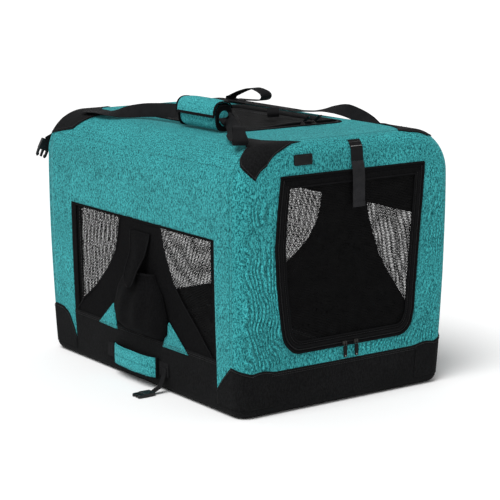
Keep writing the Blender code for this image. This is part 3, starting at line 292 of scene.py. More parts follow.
def door_shape(shrink, steps=14):
    """The front door's outline, with round corners at its foot."""
    half, low, top = DOOR_HALF - shrink, DOOR_LOW + shrink, DOOR_TOP - shrink
    radius = DOOR_R - shrink
    out = [(-half, top), (-half, low + radius)]
    out += arc_points(-half + radius, low + radius, radius, 180, 270, steps)
    out += arc_points(half - radius, low + radius, radius, 270, 360, steps)
    return [(x + DOOR_X, z) for x, z in [*out, (half, top)]]


def top_shape(shrink):
    """The roof door's outline."""
    x0, x1 = TOP_X - TOP_HALF + shrink, TOP_X + TOP_HALF - shrink
    return rounded_rect(x0, x1, TOP_Y0 + shrink, TOP_Y1 - shrink, TOP_CORNER - shrink)


def star(outline, centre, angles):
    """Where rays from a centre meet a closed outline that they each meet once."""
    dense = resample(outline, 0.0006, closed=True)
    turns = np.unwrap(np.arctan2(dense[:, 1] - centre[1], dense[:, 0] - centre[0]))
    if turns[-1] < turns[0]:
        dense, turns = dense[::-1], turns[::-1]
    dense = np.concatenate([dense, dense[:1]])
    at = turns[0] + np.mod(angles - turns[0], TURN)
    turns = [*turns, turns[0] + TURN]
    return np.column_stack([np.interp(at, turns, dense[:, 0]), np.interp(at, turns, dense[:, 1])])


def ray_angles(count, centre, corners):
    """Even angles, with the nearest ones moved onto the corners."""
    angles = np.linspace(0, TURN, count, endpoint=False)
    for x, y in corners:
        turn = math.atan2(y - centre[1], x - centre[0]) % TURN
        angles[np.argmin(np.abs(angles - turn))] = turn
    return np.sort(angles)


# Mesh making
def make(name, points, faces, looks, index=None, smooth=True, angle=None, uv=None):
    mesh = bpy.data.meshes.new(name)
    faces = [tuple(map(int, face)) for face in faces]
    mesh.from_pydata([tuple(map(float, p)) for p in points], [], faces)
    for look in looks:
        mesh.materials.append(look)
    if index is not None:
        mesh.polygons.foreach_set("material_index", np.asarray(index, np.int32))
    if uv is not None:
        loops = [i for face in faces for i in face]
        mesh.uv_layers.new(name="UVMap").data.foreach_set("uv", np.asarray(uv, np.float32)[loops].ravel())
    if smooth:
        mesh.shade_smooth()
        if angle:
            mesh.set_sharp_from_angle(angle=math.radians(angle))
    made = bpy.data.objects.new(name, mesh)
    bpy.context.scene.collection.objects.link(made)
    return made


def quads_of(rows, columns, keep=None, wrap=False):
    """The quads of a grid of points, row by row."""
    r, c = np.mgrid[: rows - 1, : columns if wrap else columns - 1]
    near, far = r * columns + c, r * columns + (c + 1) % columns
    quads = np.stack([near, far, far + columns, near + columns], -1)
    return quads.reshape(-1, 4) if keep is None else quads[keep]


def tube_faces(rows, columns):
    """The faces of a tube through rings of points, with both ends closed."""
    last = (rows - 1) * columns
    return [*quads_of(rows, columns, wrap=True), range(columns)[::-1], range(last, last + columns)]


def shell(name, outer, inner, quads, looks, crease=None):
    """A cloth sheet with an outer face, a lining on its inner side and a rim along its borders."""
    outer, inner = outer.reshape(-1, 3), inner.reshape(-1, 3)
    count = len(outer)
    normal = np.cross(outer[quads[:, 1]] - outer[quads[:, 0]], outer[quads[:, 2]] - outer[quads[:, 0]])
    if (normal * (outer - inner)[quads[:, 0]]).sum() < 0:
        quads = quads[:, ::-1]
    ends = np.concatenate([quads[:, [k, (k + 1) % 4]] for k in range(4)])
    rim = ends[~np.isin(ends[:, 0] * count + ends[:, 1], ends[:, 1] * count + ends[:, 0])]
    rim = np.column_stack([rim[:, 1], rim[:, 0], rim[:, 0] + count, rim[:, 1] + count])
    faces = np.concatenate([quads, quads[:, ::-1] + count, rim])
    index = np.zeros(len(faces), int)
    if len(looks) > 1:
        index[len(quads) : 2 * len(quads)] = 1
    used, renumbered = np.unique(faces, return_inverse=True)
    points = np.concatenate([outer, inner])[used]
    made = make(name, points, renumbered.reshape(faces.shape), looks, index)
    # The crease values give the material its painted fold shade and highlight.
    if crease is not None:
        values = np.tile(crease.ravel(), 2)[used].astype(np.float32)
        made.data.attributes.new("crease", "FLOAT", "POINT").data.foreach_set("value", values)
    return made


def sweep(name, path, outs, profile, look, closed=False, angle=35):
    """A profile of (across, out) pairs carried along a path, with ribs laid out along it in metres."""
    path = np.asarray(path, float)
    if closed:
        ahead = unit(np.roll(path, -1, 0) - np.roll(path, 1, 0))
    else:
        ahead = unit(np.gradient(path, axis=0))
    outs = np.broadcast_to(outs, path.shape)
    outs = unit(outs - ahead * (outs * ahead).sum(1)[:, None])
    across = np.cross(ahead, outs)
    count, sides = len(path), len(profile)
    points = path[:, None] + across[:, None] * profile[None, :, :1] + outs[:, None] * profile[None, :, 1:]
    uv = np.stack(np.broadcast_arrays(run_along(path)[:, None], profile[None, :, 0]), -1).reshape(-1, 2)
    faces = quads_of(count + 1, sides, wrap=True) % (count * sides) if closed else tube_faces(count, sides)
    return make(name, points.reshape(-1, 3), faces, [look], angle=angle, uv=uv)


def strap(name, path, outs, width, thick=WEB, look=strap_web, closed=False):
    """Webbing: flat faces with rolled edges."""
    return sweep(name, path, outs, oval(width / 2, thick / 2, 12, 0.45), look, closed, 50)


def hem(name, path, outs, half_across, half_out, closed=False):
    """A narrow folded border along a path."""
    return sweep(name, path, outs, oval(half_across, half_out), binding_tape, closed, 60)


def box_loft(name, rings, look, angle=35):
    """A closed solid through rings of points, with its normals turned outwards."""
    rings = np.asarray(rings, float)
    points = rings.reshape(-1, 3)
    made = make(name, points, tube_faces(*rings.shape[:2]), [look], angle=angle)
    centre = Vector(points.mean(0))
    if sum((face.center - centre).dot(face.normal) * face.area for face in made.data.polygons) < 0:
        made.data.flip_normals()
    return made


def block(name, centre, axes, rect, radius, steps, levels, look):
    """A rounded block: its rectangle at several levels along the third axis, each grown by its own amount."""
    rings = []
    for level, grow in levels:
        x0, x1, y0, y1 = np.array(rect) + np.array([-grow, grow, -grow, grow])
        flat = np.array(rounded_rect(x0, x1, y0, y1, radius, steps))
        rings.append(centre + flat @ np.array(axes[:2]) + axes[2] * level)
    return box_loft(name, rings, look)


def stitches(name, rows, look, length=0.0030, gap=0.0016, width=0.0009, height=0.0006):
    """Rows of raised stitches: each row is a path with its outward directions."""
    ends, talls = np.array([[0.0, 0.3, 0.7, 1.0], [0.25, 1.0, 1.0, 0.25]])[..., None]
    points = []
    for path, outs in rows:
        both = resample(np.column_stack([path, np.broadcast_to(outs, np.shape(path))]), length + gap)
        path, outs = both[:, :3], unit(both[:, 3:])
        ahead = unit(np.gradient(path, axis=0))
        across = unit(np.cross(ahead, outs))
        path, outs, ahead, across = (v[:-1, None] for v in (path, outs, ahead, across))
        base = path + ahead * length * ends
        side = across * width / 2
        points.append(np.stack([base - side, base + outs * height * talls, base + side], 2).reshape(-1, 3))
    points = np.concatenate(points)
    stitch = [(0, 1, 2), (11, 10, 9)]
    for s in (0, 3, 6):
        stitch += [(s, s + 3, s + 4, s + 1), (s + 1, s + 4, s + 5, s + 2), (s + 2, s + 5, s + 3, s)]
    faces = [[start + i for i in face] for start in range(0, len(points), 12) for face in stitch]
    return make(name, points, faces, [look])


# Riding on the bodies
def on(obj, body, *nodes):
    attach(obj, body)
    if nodes:
        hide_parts(*nodes)
    return obj


def on_wall(obj, *nodes, body="base"):
    """Rides on a body, with a mesh of its own."""
    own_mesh(on(obj, body, *nodes))


def on_wall_top(obj, *nodes):
    """Sits above the seam and rides on the base, with a mesh of its own."""
    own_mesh(on(obj, "base", *nodes))


# The cover's surface
def inset_at(z):
    low = BASE_INSET * ((WIDEST_Z - z) / WIDEST_Z) ** 2
    return np.where(z < WIDEST_Z, low, TOP_INSET * ((z - WIDEST_Z) / (HEIGHT - WIDEST_Z)) ** 2)


def half_width(z):
    return WIDTH / 2 - inset_at(z)


def half_length(z):
    return LENGTH / 2 - inset_at(z)


GIRTH_TOP = ARC_Z + TOP_R * QUARTER
GIRTH_MID = GIRTH_TOP + ARC_X
GIRTH_SEAM = ARC_Z + TOP_R * math.asin((SEAM_Z - ARC_Z) / TOP_R)


def section(girth, inset):
    """X and Z on the cover's cross section at a girth from the ground, and the outward direction there."""
    turn = np.clip((girth - ARC_Z) / TOP_R, 0.0, QUARTER)
    flat = np.clip(girth - GIRTH_TOP, 0.0, None)
    low = girth < ARC_Z
    z = np.where(low, girth, ARC_Z + (TOP_R - inset) * np.sin(turn))
    arch = ARC_X + (TOP_R - inset - inset_at(ARC_Z)) * np.cos(turn) - flat
    return np.where(low, half_width(girth) - inset, arch), z, np.cos(turn), np.sin(turn)


def skin(side, end, girth, run, lift=0.0):
    """On the cover near an end. Run goes along the side from the rounded edge; below 0 it is on the end."""
    girth, run, lift = np.broadcast_arrays(girth, run, lift)
    turn = np.clip(-run / EDGE_R, 0.0, QUARTER)
    face = np.clip(-run - EDGE_R * QUARTER, 0.0, None)
    x, z, _, _ = section(girth, EDGE_R - (EDGE_R + lift) * np.cos(turn) + face)
    y = half_length(z) - EDGE_R + (EDGE_R + lift) * np.sin(turn) - np.clip(run, 0.0, None)
    return np.stack([side * x, end * y, z], -1)


def wall(side, girth, y, lift=0.0):
    """On the side walls and roof, at a girth and a Y."""
    girth, y, lift = np.broadcast_arrays(girth, y, lift)
    x, z, _, _ = section(girth, -lift)
    return np.stack([side * x, y, z], -1)


# How far the front door's left and right borders sag to the right, in mm, by height
LEFT_SAG = [(0.105, 0), (0.14, 16), (0.18, 18), (0.23, 10), (0.29, 2), (0.36, -3), (0.44, 3), (0.51, 12)]
LEFT_SAG += [(0.535, 0)]
RIGHT_SAG = [(0.105, 0), (0.14, -13), (0.17, -22), (0.24, -20), (0.32, -15), (0.40, -9), (0.51, 0)]


def front(x, z, lift=0.0, end=-1):
    """On an end face. The front one sags round its door: the door's sides bow out and its foot narrows."""
    x, z, lift = np.broadcast_arrays(x, z, lift)
    if end < 0:
        away = np.abs(x - DOOR_X)
        share = fade(away, 0.05, 0.19) * (1 - fade(away, 0.21, 0.245))
        x = x + np.where(x < DOOR_X, between(z, LEFT_SAG), between(z, RIGHT_SAG)) * 0.001 * share
    return np.stack([x, end * (half_length(z) + lift), z], -1)


def roof_at(x, y, lift=0.0):
    x, y, lift = np.broadcast_arrays(x, y, lift)
    return np.stack([x, y, HEIGHT + lift], -1)


def roof_border_at(x, y, lift=0.0):
    """On the roof door's border, which stands up along its front edge."""
    front_part = np.exp(-(((y - TOP_Y0) / 0.035) ** 2))
    rise = 0.0060 * front_part * fade(x, -0.09, 0.03) * (1 - fade(x, 0.125, 0.158))
    return roof_at(x, y, lift + rise * (lift > -0.001))


def noise_at(points, scale, seed=0.0):
    flat = np.reshape(points, (-1, 3)) * scale + seed * X_AXIS
    return np.array([noise.noise(Vector(p)) for p in flat]).reshape(np.shape(points)[:-1])


def ripples(points, mask, seed, size=0.0013):
    """Puckers of cloth pulled along its seams: narrow waves that wander, strongest where the mask says."""
    out = noise_at(points, 7.0, seed) * 0.00072
    near = mask > 0.02
    p = points[near]
    warp = noise_at(p, 9.0, seed + 3.0) * 3.8 + noise_at(p, 27.0, seed + 9.0) * 1.1
    along = (np.abs(p[:, 0]) + np.abs(p[:, 1]) - p[:, 2] * 0.15) * 98.0
    gate = 0.55 + 0.45 * np.tanh(noise_at(p, 14.0, seed + 17.0) * 5.0 + 0.9)
    out[near] += size * np.sin(TURN * (along + warp)) * mask[near] * gate
    return out


# Teal cloth
def end_cloth(label, end, hole, centre, corners, seed, folds):
    """An end wall with its opening: a flat face and a rounded border that turns onto the sides and roof."""
    flat_rows, turn_rows = 44, 20
    x, z, _, _ = section(np.linspace(TEAL_LOW, GIRTH_TOP, 90), EDGE_R)
    outline = [*zip(x, z), *zip(-x[::-1], z[::-1])]
    feet = [outline[0], outline[-1]]
    angles = ray_angles(900, centre, [*corners, *feet])
    inner_ring, outer_ring = star(hole, centre, angles), star(outline, centre, angles)
    x, z = outer_ring.T
    on_arch = z > TEAL_LOW + 1e-5
    for foot_x, foot_z in feet:
        on_arch |= np.hypot(x - foot_x, z - foot_z) < 0.0008
    arch_turn = np.where(z > ARC_Z, np.arctan2(z - ARC_Z, np.maximum(np.abs(x) - ARC_X, 0.0)), 0.0)
    normal = np.stack([np.copysign(np.cos(arch_turn), x), np.sin(arch_turn)], -1)

    # Flat rows first, then the rows that turn round the edge
    shares = np.linspace(0, 1, flat_rows + 1)
    turned = np.arange(1, turn_rows + 1) / turn_rows
    turns = QUARTER * (1 - turned)
    lean = np.concatenate([shares * 0, np.cos(turns)])[:, None]
    rise = np.concatenate([shares * 0 + 1, np.sin(turns)])[:, None]
    ring = np.concatenate([shares, turned * 0 + 1])[:, None, None]
    ring = inner_ring * (1 - ring) + outer_ring * ring
    grids = []
    for depth in (0.0, CLOTH):
        at = ring + normal * ((EDGE_R - depth) * lean)[..., None]
        grid = front(at[..., 0], at[..., 1], -depth, end)
        grid[..., 1] -= end * (EDGE_R - depth) * (1 - rise)
        grids.append(grid)
    outer, inner = grids

    flat = np.concatenate([fade(shares, 0.0, 0.12), 1 - fade(turned, 0.15, 0.75)])[:, None]
    edge = np.concatenate([fade(shares, 0.0, 0.1), np.linspace(1, 0, turn_rows)])[:, None]
    push = ripples(outer, flat * folds(outer[..., 0], outer[..., 2]), seed) * edge
    # How far each point stands out or sinks in: the material paints shade in the troughs and highlight on the
    # ridges from it.
    crease = np.clip(push / 0.0012, -1.0, 1.0)
    outward = np.stack([normal[:, 0] * lean, end * rise + normal[:, 0] * 0, normal[:, 1] * lean], -1)
    outer, inner = (grid + outward * push[..., None] for grid in (outer, inner))
    keep = np.ones((flat_rows + turn_rows, len(angles)), bool)
    low = z < TEAL_LOW + 1e-4
    keep[flat_rows:] = on_arch & np.roll(on_arch, -1) & ~(low & np.roll(low, -1))
    quads = quads_of(flat_rows + turn_rows + 1, len(angles), keep, wrap=True)
    high = outer.reshape(-1, 3)[quads, 2].mean(axis=1) > SEAM_Z
    on(shell(f"{label}_cloth_top", outer, inner, quads[high], [teal, lining], crease), "roof")
    on_wall(shell(f"{label}_cloth", outer, inner, quads[~high], [teal, lining], crease), f"{label}_panel")


def front_folds(x, z):
    across = fade(x, -0.292, -0.270) * (1 - fade(x, -0.190, -0.172))
    left = across * fade(z, 0.10, 0.14) * (1 - fade(z, 0.42, 0.50))
    foot = (1 - fade(z, 0.122, 0.150)) * fade(z, 0.101, 0.114)
    right = fade(x, 0.205, 0.225) * 0.6 * fade(z, 0.10, 0.2) * (1 - fade(z, 0.40, 0.5))
    return np.clip(left * 1.25 + foot + right, 0, 1.3)


def rear_folds(x, z):
    return 0.35 * fade(np.abs(x), 0.19, 0.21) * fade(z, 0.1, 0.14) * (1 - fade(z, 0.4, 0.5))


door_hole = door_shape(0.0)
door_tips = [door_hole[0], door_hole[-1]]
rear_hole = [(-0.190, 0.510), (-0.190, 0.080), (0.190, 0.080), (0.190, 0.510)]
end_cloth("front", -1, door_hole, DOOR_CENTRE, door_tips, 1.0, front_folds)
end_cloth("rear", 1, rear_hole, (0.0, 0.30), rear_hole, 5.0, rear_folds)


def side_cloth(label, side, seed):
    girths = spans(TEAL_LOW, (0.10, 9), (WINDOW_TOP, 48), (GIRTH_SEAM, 28))
    ys = spans(-0.359, (WINDOW_Y0, 9), (WINDOW_Y1, 90), (0.359, 15))
    girth, y = np.meshgrid(girths, [-1.0, *ys, 1.0], indexing="ij")
    _, z, _, _ = section(girth, 0.0)
    reach = half_length(z) - EDGE_R
    y = np.where(np.abs(y) > 0.5, np.sign(y) * reach, y)
    gap = np.maximum(np.maximum(WINDOW_Y0 - y, y - WINDOW_Y1), girth - WINDOW_TOP)
    plain = fade(gap, 0.0, 0.02) * fade(reach - np.abs(y), 0.0, 0.02) * fade(GIRTH_SEAM - girth, 0.0, 0.03)
    mask = 0.6 * (1 - fade(np.abs(reach - np.abs(y) - 0.018), 0.0, 0.03)) * (gap > 0)
    push = ripples(wall(side, girth, y), mask * plain, seed, 0.0007) * plain
    middle_y, middle_g = (y[:-1, :-1] + y[1:, 1:]) / 2, (girth[:-1, :-1] + girth[1:, 1:]) / 2
    keep = (middle_y < WINDOW_Y0) | (middle_y > WINDOW_Y1) | (middle_g > WINDOW_TOP) | (middle_g < 0.10)
    outer, inner = wall(side, girth, y, push), wall(side, girth, y, push - CLOTH)
    # The puckers' depth also goes to the material as painted fold shade and highlight.
    made = shell(f"{label}_cloth", outer, inner, quads_of(*girth.shape, keep), [teal, lining], push / 0.0016)
    on_wall(made, f"{label}_panel")


side_cloth("left", -1, 11.0)
side_cloth("right", 1, 15.0)


def roof_cloth():
    half, edge = GIRTH_MID - GIRTH_SEAM, LENGTH / 2 - EDGE_R
    corners = [(half, edge), (-half, edge), (-half, -edge), (half, -edge)]
    angles = ray_angles(420, TOP_CENTRE, corners)
    shares = np.linspace(0, 1, 34)[:, None]
    flat = star(top_shape(0.0), TOP_CENTRE, angles) * (1 - shares[..., None])
    flat = flat + star(corners, TOP_CENTRE, angles) * shares[..., None]
    across, y = flat[..., 0], flat[..., 1]
    girth = GIRTH_MID - np.abs(across)
    side = np.where(across < 0, -1.0, 1.0)
    _, z, _, _ = section(girth, 0.0)
    y = y * (half_length(z) - EDGE_R) / edge
    plain = fade(shares, 0.0, 0.15) * fade(1 - shares, 0.0, 0.12) + y * 0
    push = ripples(wall(side, girth, y), plain * 0.15, 21.0, 0.0007) * plain
    push -= 0.0016 * plain * np.cos(np.clip(y / edge, -1, 1) * QUARTER)
    outer, inner = wall(side, girth, y, push), wall(side, girth, y, push - CLOTH)
    on(shell("roof_cloth", outer, inner, quads_of(*y.shape, wrap=True), [teal, lining]), "roof", "roof_panel")


roof_cloth()

# Black base with its rising corners: half the straight part of its sides and ends
SIDE_RUN, END_RUN = 0.374, 0.259


def side_top(y):
    """Height of the base's upper border along a side, where a teal wedge parts corner and middle."""
    stops = [(-0.375, 0.114), (-0.363, 0.103), (-0.348, 0.088), (-0.335, 0.073), (-0.3202, 0.054)]
    stops += [(-0.3200, SIDE_BAND), (0.2828, SIDE_BAND), (0.2830, 0.046), (0.297, 0.074), (0.315, 0.103)]
    return between(y, [*stops, (0.340, 0.114), (0.375, 0.117)])


def base_stations():
    """Stations round the plan: shares of the straights in X and Y, turn of the corner, border's height."""
    wedges = [-0.3202, -0.3200, 0.2828, 0.2830]
    ys = np.unique([*np.linspace(-SIDE_RUN, SIDE_RUN, 150), *wedges])
    xs = np.linspace(END_RUN, -END_RUN, 70)
    t = np.arange(1, 9) / 9
    out = []
    for sign, corner in ((1, 0.117), (-1, 0.114)):
        start = QUARTER * (1 - sign)
        side = ys[::sign]
        parts = (
            (sign, side / SIDE_RUN, start, side_top(side)),
            (sign, sign, start + QUARTER * t, corner + (0.100 - corner) * t),
            (sign * xs / END_RUN, sign, start + QUARTER, FRONT_BAND + 0.003 * fade(np.abs(xs), 0.19, 0.22)),
            (-sign, sign, start + QUARTER * (1 + t), 0.100 + (corner - 0.100) * t),
        )
        out += [np.stack(np.broadcast_arrays(*part), -1) for part in parts]
    return np.concatenate(out)


def base_ring(stations, z, inset):
    share_x, share_y, turn, _ = stations.T
    x = share_x * (half_width(z) - EDGE_R) + (EDGE_R - inset) * np.cos(turn)
    y = share_y * (half_length(z) - EDGE_R) + (EDGE_R - inset) * np.sin(turn)
    return np.stack([x, y, x * 0 + z], -1)


def base_shell():
    stations = base_stations()
    grids = []
    for depth, lift in ((0.0, 0.0009), (CLOTH, 0.0)):
        rings = []
        for turn in np.linspace(0, QUARTER, 7):
            z = BASE_EDGE_R - (BASE_EDGE_R - depth) * math.cos(turn)
            rings.append(base_ring(stations, z, BASE_EDGE_R - (BASE_EDGE_R - depth + lift) * math.sin(turn)))
        for share in np.arange(1, 15) / 14:
            z = BASE_EDGE_R + (stations[:, 3] - BASE_EDGE_R) * share
            rings.append(base_ring(stations, z, depth - lift))
        grids.append(np.array(rings))
    outer, inner = grids
    puckers = np.maximum(noise_at(outer, 9.0, 30.0) * 0.0012 + noise_at(outer, 30.0, 33.0) * 0.0004, -0.0003)
    outer = outer + unit(outer * [1, 1, 0]) * (puckers * fade(outer[..., 2], 0.02, 0.05))[..., None]
    quads = quads_of(len(outer), len(stations), wrap=True)
    on(shell("base_shell", outer, inner, quads, [black, lining]), "base", "base_tub")
    # The floor of the tray, outside and inside
    count = len(stations)
    for label, ring, look, turn in (("under", outer[0], black, -1), ("inside", inner[0], lining, 1)):
        faces = [(0, *(1 + i, 1 + (i + 1) % count)[::turn]) for i in range(count)]
        on(make(f"base_{label}", [(0.0, 0.0, ring[:, 2].mean()), *ring], faces, [look], smooth=False), "base")


base_shell()


def corner_patches():
    """The base's reinforced corners: a second layer of cloth, with its own stitched border."""
    rows = []
    arc, reach = 0.0487, 0.052
    for side_name, sx in SIDES[::-1]:
        for end_name, sy in ENDS[::-1]:
            grid = []
            for run in spans(reach if sy < 0 else 0.088, (0.0, 14), (-arc, 9), (-arc - reach, 14)):
                if run >= 0:
                    top = side_top(sy * (SIDE_RUN - run)) - 0.0015
                    if top > 0.1165 and run > 0.045:
                        top = 0.05
                else:
                    t = min(-run / arc, 1.0)
                    past = min(max((-run - arc) / reach, 0.0), 1.0)
                    top = (0.1145 if sy < 0 else 0.1155) * (1 - t) + 0.0985 * t
                    top += 0.004 * math.sin(math.pi * past)
                grid.append(skin(sx, sy, np.linspace(0.021, top, 12), run, 0.0020))
            outer = np.array(grid)
            normal = unit(np.cross(np.gradient(outer, axis=1), np.gradient(outer, axis=0)))
            if ((outer - 0.25 * Z_AXIS) * normal).sum() < 0:
                normal = -normal
            quads = quads_of(*outer.shape[:2])
            inner = outer - normal * 0.0012
            made = shell(f"base_patch_{side_name}_{end_name}", outer, inner, quads, [black, black])
            on(made, "base")
            border = outer[:, -1] - 0.004 * Z_AXIS
            outs = unit((border - [sx * 0.2, sy * 0.3, 0.0]) * [1, 1, 0])
            rows.append((border + outs * 0.0004, outs))
    on(stitches("base_patch_stitching", rows, black_thread), "base")


corner_patches()


# Nets
def lattice(name, u_range, v_range, place, inside=None):
    """A knitted net: zigzag threads joined by short bars, each row half a mesh along from the last."""
    pitch, tall, wire = 0.0042, 0.0036, 0.0022
    (u0, u1), (v0, v1) = u_range, v_range
    cells_u, cells_v = 2 * round((u1 - u0) / pitch), round((v1 - v0) / tall)
    bar = wire * 0.63
    step_u, step_v = (u1 - u0 - bar) / cells_u, (v1 - v0 - wire) / cells_v
    column, row = np.arange(2 * cells_u + 2), np.arange(2 * cells_v + 2)[:, None]
    us = u0 + (column // 2) * step_u + (column % 2) * bar
    vs = v0 + (row // 2) * step_v + (row % 2) * wire
    u, v = (grid.copy() for grid in np.broadcast_arrays(us, vs))
    inner_row, inner_column = (row > 1) & (row < row[-1] - 1), (column > 1) & (column < column[-1] - 1)
    v += np.where((column // 2 + row // 2) % 2 == 0, 0.14, -0.14) * step_v * inner_row
    knots = np.stack([u, v, v * 0], -1)[::2, ::2]
    for offset, seed in ((u, 2.0), (v, 8.0)):
        loose = noise_at(knots, 16.0, seed) * 0.0018 + noise_at(knots, 410.0, seed) * 0.0009
        offset += loose[row // 2, column // 2] * inner_row * inner_column
    i, j = column[:-1], row[:-1]
    keep = (j % 2 == 0) | ((i % 2 == 0) & ((i // 2 + j // 2) % 2 == 0)) | (i == 0) | (i == 2 * cells_u)
    if inside is not None:
        keep &= inside((u[:-1, :-1] + u[1:, 1:]) / 2, (v[:-1, :-1] + v[1:, 1:]) / 2)
    quads = quads_of(*u.shape, keep)
    used, renumbered = np.unique(quads, return_inverse=True)
    return make(name, place(u, v).reshape(-1, 3)[used], renumbered.reshape(quads.shape), [net_thread])


def in_door(x, z):
    shrink = TAPE + BORDER
    half, low, radius = DOOR_HALF - shrink, DOOR_LOW + shrink, DOOR_R - shrink
    away = np.abs(x - DOOR_X)
    dx, dz = away - (half - radius), low + radius - z
    corner = (dx > 0) & (dz > 0) & (dx * dx + dz * dz > radius * radius)
    return (away < half) & (z > low) & (z < DOOR_TOP - shrink) & ~corner


for label, side in SIDES:
    y_range, z_range = (WINDOW_Y0 - 0.004, WINDOW_Y1 + 0.004), (0.108, WINDOW_TOP + 0.004)
    made = lattice(f"{label}_net", y_range, z_range, lambda u, v, s=side: wall(s, v, u, -NET_DEPTH))
    on_wall(made, f"{label}_window_net")
made = lattice("rear_net", (-0.194, 0.194), (0.088, 0.514), lambda u, v: front(u, v, -NET_DEPTH, 1))
on_wall(made, "rear_window_net")
door_u = (DOOR_X - DOOR_HALF + TAPE + BORDER, DOOR_X + DOOR_HALF - TAPE - BORDER)
door_v = (DOOR_LOW + TAPE + BORDER, DOOR_TOP - TAPE - BORDER)
made = lattice("front_screen", door_u, door_v, lambda u, v: front(u, v, -DOOR_DEPTH), in_door)
on_wall(made, "front_door_net", body="front_door")
top_u, top_v = (TOP_X - TOP_HALF + 0.030, TOP_X + TOP_HALF - 0.030), (TOP_Y0 + 0.030, TOP_Y1 - 0.030)
made = lattice("roof_screen", top_u, top_v, lambda u, v: roof_at(u, v, -DOOR_DEPTH))
on(made, "top_door", "top_door_net")


# Borders, bindings and zips of the doors
def ring_piece(name, outer_line, inner_line, place, lifts, centre, corners=()):
    """A soft border between two outlines, crowned across its width. lifts gives (share across, height)."""
    angles = ray_angles(260, centre, corners)
    a, b = star(outer_line, centre, angles), star(inner_line, centre, angles)
    rows, under = [], []
    for share, lift in lifts:
        x, y = (a * (1 - share) + b * share).T
        rows.append(place(x, y, lift))
        under.append(place(x, y, -DOOR_DEPTH))
    quads = quads_of(len(rows), len(angles), wrap=True)
    return shell(name, np.array(rows), np.array(under), quads, [soft_black])


def low_at_hinge(place, hinge):
    """Lays a zip's tape lower beside its door's hinge."""
    edge = hinge - TAPE - 0.001
    return lambda a, b, lift: place(a, b, np.minimum(lift, np.where(b > edge, 0.0001, 0.0007)))


def outline_path(points, place, lift, closed=False, pitch=0.004):
    x, y = resample(points, pitch, closed).T
    return place(x, y, lift)


def binding(name, points, place, out, closed, width, height, lift):
    path = outline_path(points, place, lift, closed)
    return sweep(name, path, out, oval(width / 2, height / 2, 10, 0.8), binding_tape, closed, 60)


tape_crown = [(0.0, 0.0), (0.1, 0.0007), (0.9, 0.0007), (1.0, 0.0)]
crown = [(0.0, -0.0006), (0.03, 0.0001), (0.12, 0.0005), (0.3, 0.0008), (0.7, 0.0008), (0.97, 0.0006)]
crown += [(1.0, -0.0006)]
outer_line, inner_line = door_shape(TAPE + 0.0003), door_shape(TAPE + BORDER)
tape_tips = [door_shape(TAPE)[0], door_shape(TAPE)[-1]]
made = ring_piece("door_frame", outer_line, inner_line, front, crown, DOOR_CENTRE, tape_tips)
on_wall(made, "front_door_border", body="front_door")
place = low_at_hinge(front, DOOR_TOP)
made = ring_piece("door_zip_tape", door_hole, door_shape(TAPE), place, tape_crown, DOOR_CENTRE, door_tips)
on_wall(made, "front_zip_track")
door_edge = door_shape(0.0115)
door_edge = [(door_edge[0][0], DOOR_TOP - 0.016), *door_edge[1:-1], (door_edge[-1][0], DOOR_TOP - 0.016)]
inner_edge = door_shape(TAPE + BORDER + 0.0005)
on_wall(binding("door_binding", door_edge, front, -Y_AXIS, False, 0.0065, 0.0036, 0.0006), body="front_door")
on_wall(binding("door_outer_binding", door_shape(-0.001), front, -Y_AXIS, True, 0.0045, 0.0030, 0.0004))
made = binding("door_inner_binding", inner_edge, front, -Y_AXIS, True, 0.0040, 0.0024, 0.0006)
on_wall(made, body="front_door")
line = outline_path(door_shape(0.0060), front, 0.0010, pitch=0.002)
on_wall(stitches("door_zip_coil", [(line, -Y_AXIS)], zip_coil, 0.0013, 0.0009, 0.0034, 0.0012))
line = outline_path(door_shape(0.0180), front, 0.0010)
on_wall(stitches("door_stitching", [(line, -Y_AXIS)], black_thread), body="front_door")
line = outline_path(door_shape(-0.0060, steps=20), front, 0.0003)
on_wall(stitches("door_opening_stitching", [(line, -Y_AXIS)], teal_thread))

outer_line, inner_line = top_shape(TAPE + 0.0003), top_shape(TAPE + ROOF_BORDER)
crown = [(0.0, -0.0006), (0.03, 0.0002), (0.12, 0.0014), (0.3, 0.0022), (0.5, 0.0024), (0.75, 0.0018)]
crown += [(1.0, -0.0006)]
made = ring_piece("roof_door_frame", outer_line, inner_line, roof_border_at, crown, TOP_CENTRE)
on(made, "top_door", "top_door_border")
place = low_at_hinge(roof_at, TOP_Y1)
made = ring_piece("roof_zip_tape", top_shape(0.0), top_shape(TAPE), place, tape_crown, TOP_CENTRE)
on(made, "roof", "top_zip_track")
x0, x1 = TOP_X - TOP_HALF + 0.0115, TOP_X + TOP_HALF - 0.0115
door_edge = rounded_rect(x0, x1, TOP_Y0 + 0.0115, TOP_Y1 - 0.0170, TOP_CORNER - 0.0115)
on(binding("roof_door_binding", door_edge, roof_border_at, Z_AXIS, True, 0.0070, 0.0042, 0.0010), "top_door")
on(binding("roof_opening_binding", top_shape(-0.001), roof_at, Z_AXIS, True, 0.0050, 0.0032, 0.0004), "roof")
# The zip leaves out the hinge side, which is the outline's first two corners
zip_line = top_shape(0.0060)[18:]
zip_line = [(zip_line[0][0], TOP_Y1 - 0.020), *zip_line, (zip_line[-1][0], TOP_Y1 - 0.020)]
line = outline_path(zip_line, roof_at, 0.0010, pitch=0.002)
on(stitches("roof_zip_coil", [(line, Z_AXIS)], zip_coil, 0.0015, 0.0011, 0.0050, 0.0018), "roof")
tab = smooth_path([(0.066, -0.040, 0.5836), (0.064, -0.042, 0.5930), (0.067, -0.037, 0.6035)], 6)
on(strap("roof_door_tab", tab, (-0.58, -0.81, 0.0), 0.028, 0.0034), "top_door")
line = outline_path(top_shape(0.020), roof_border_at, 0.0026, True)
on(stitches("roof_door_stitching", [(line, Z_AXIS)], black_thread), "top_door")

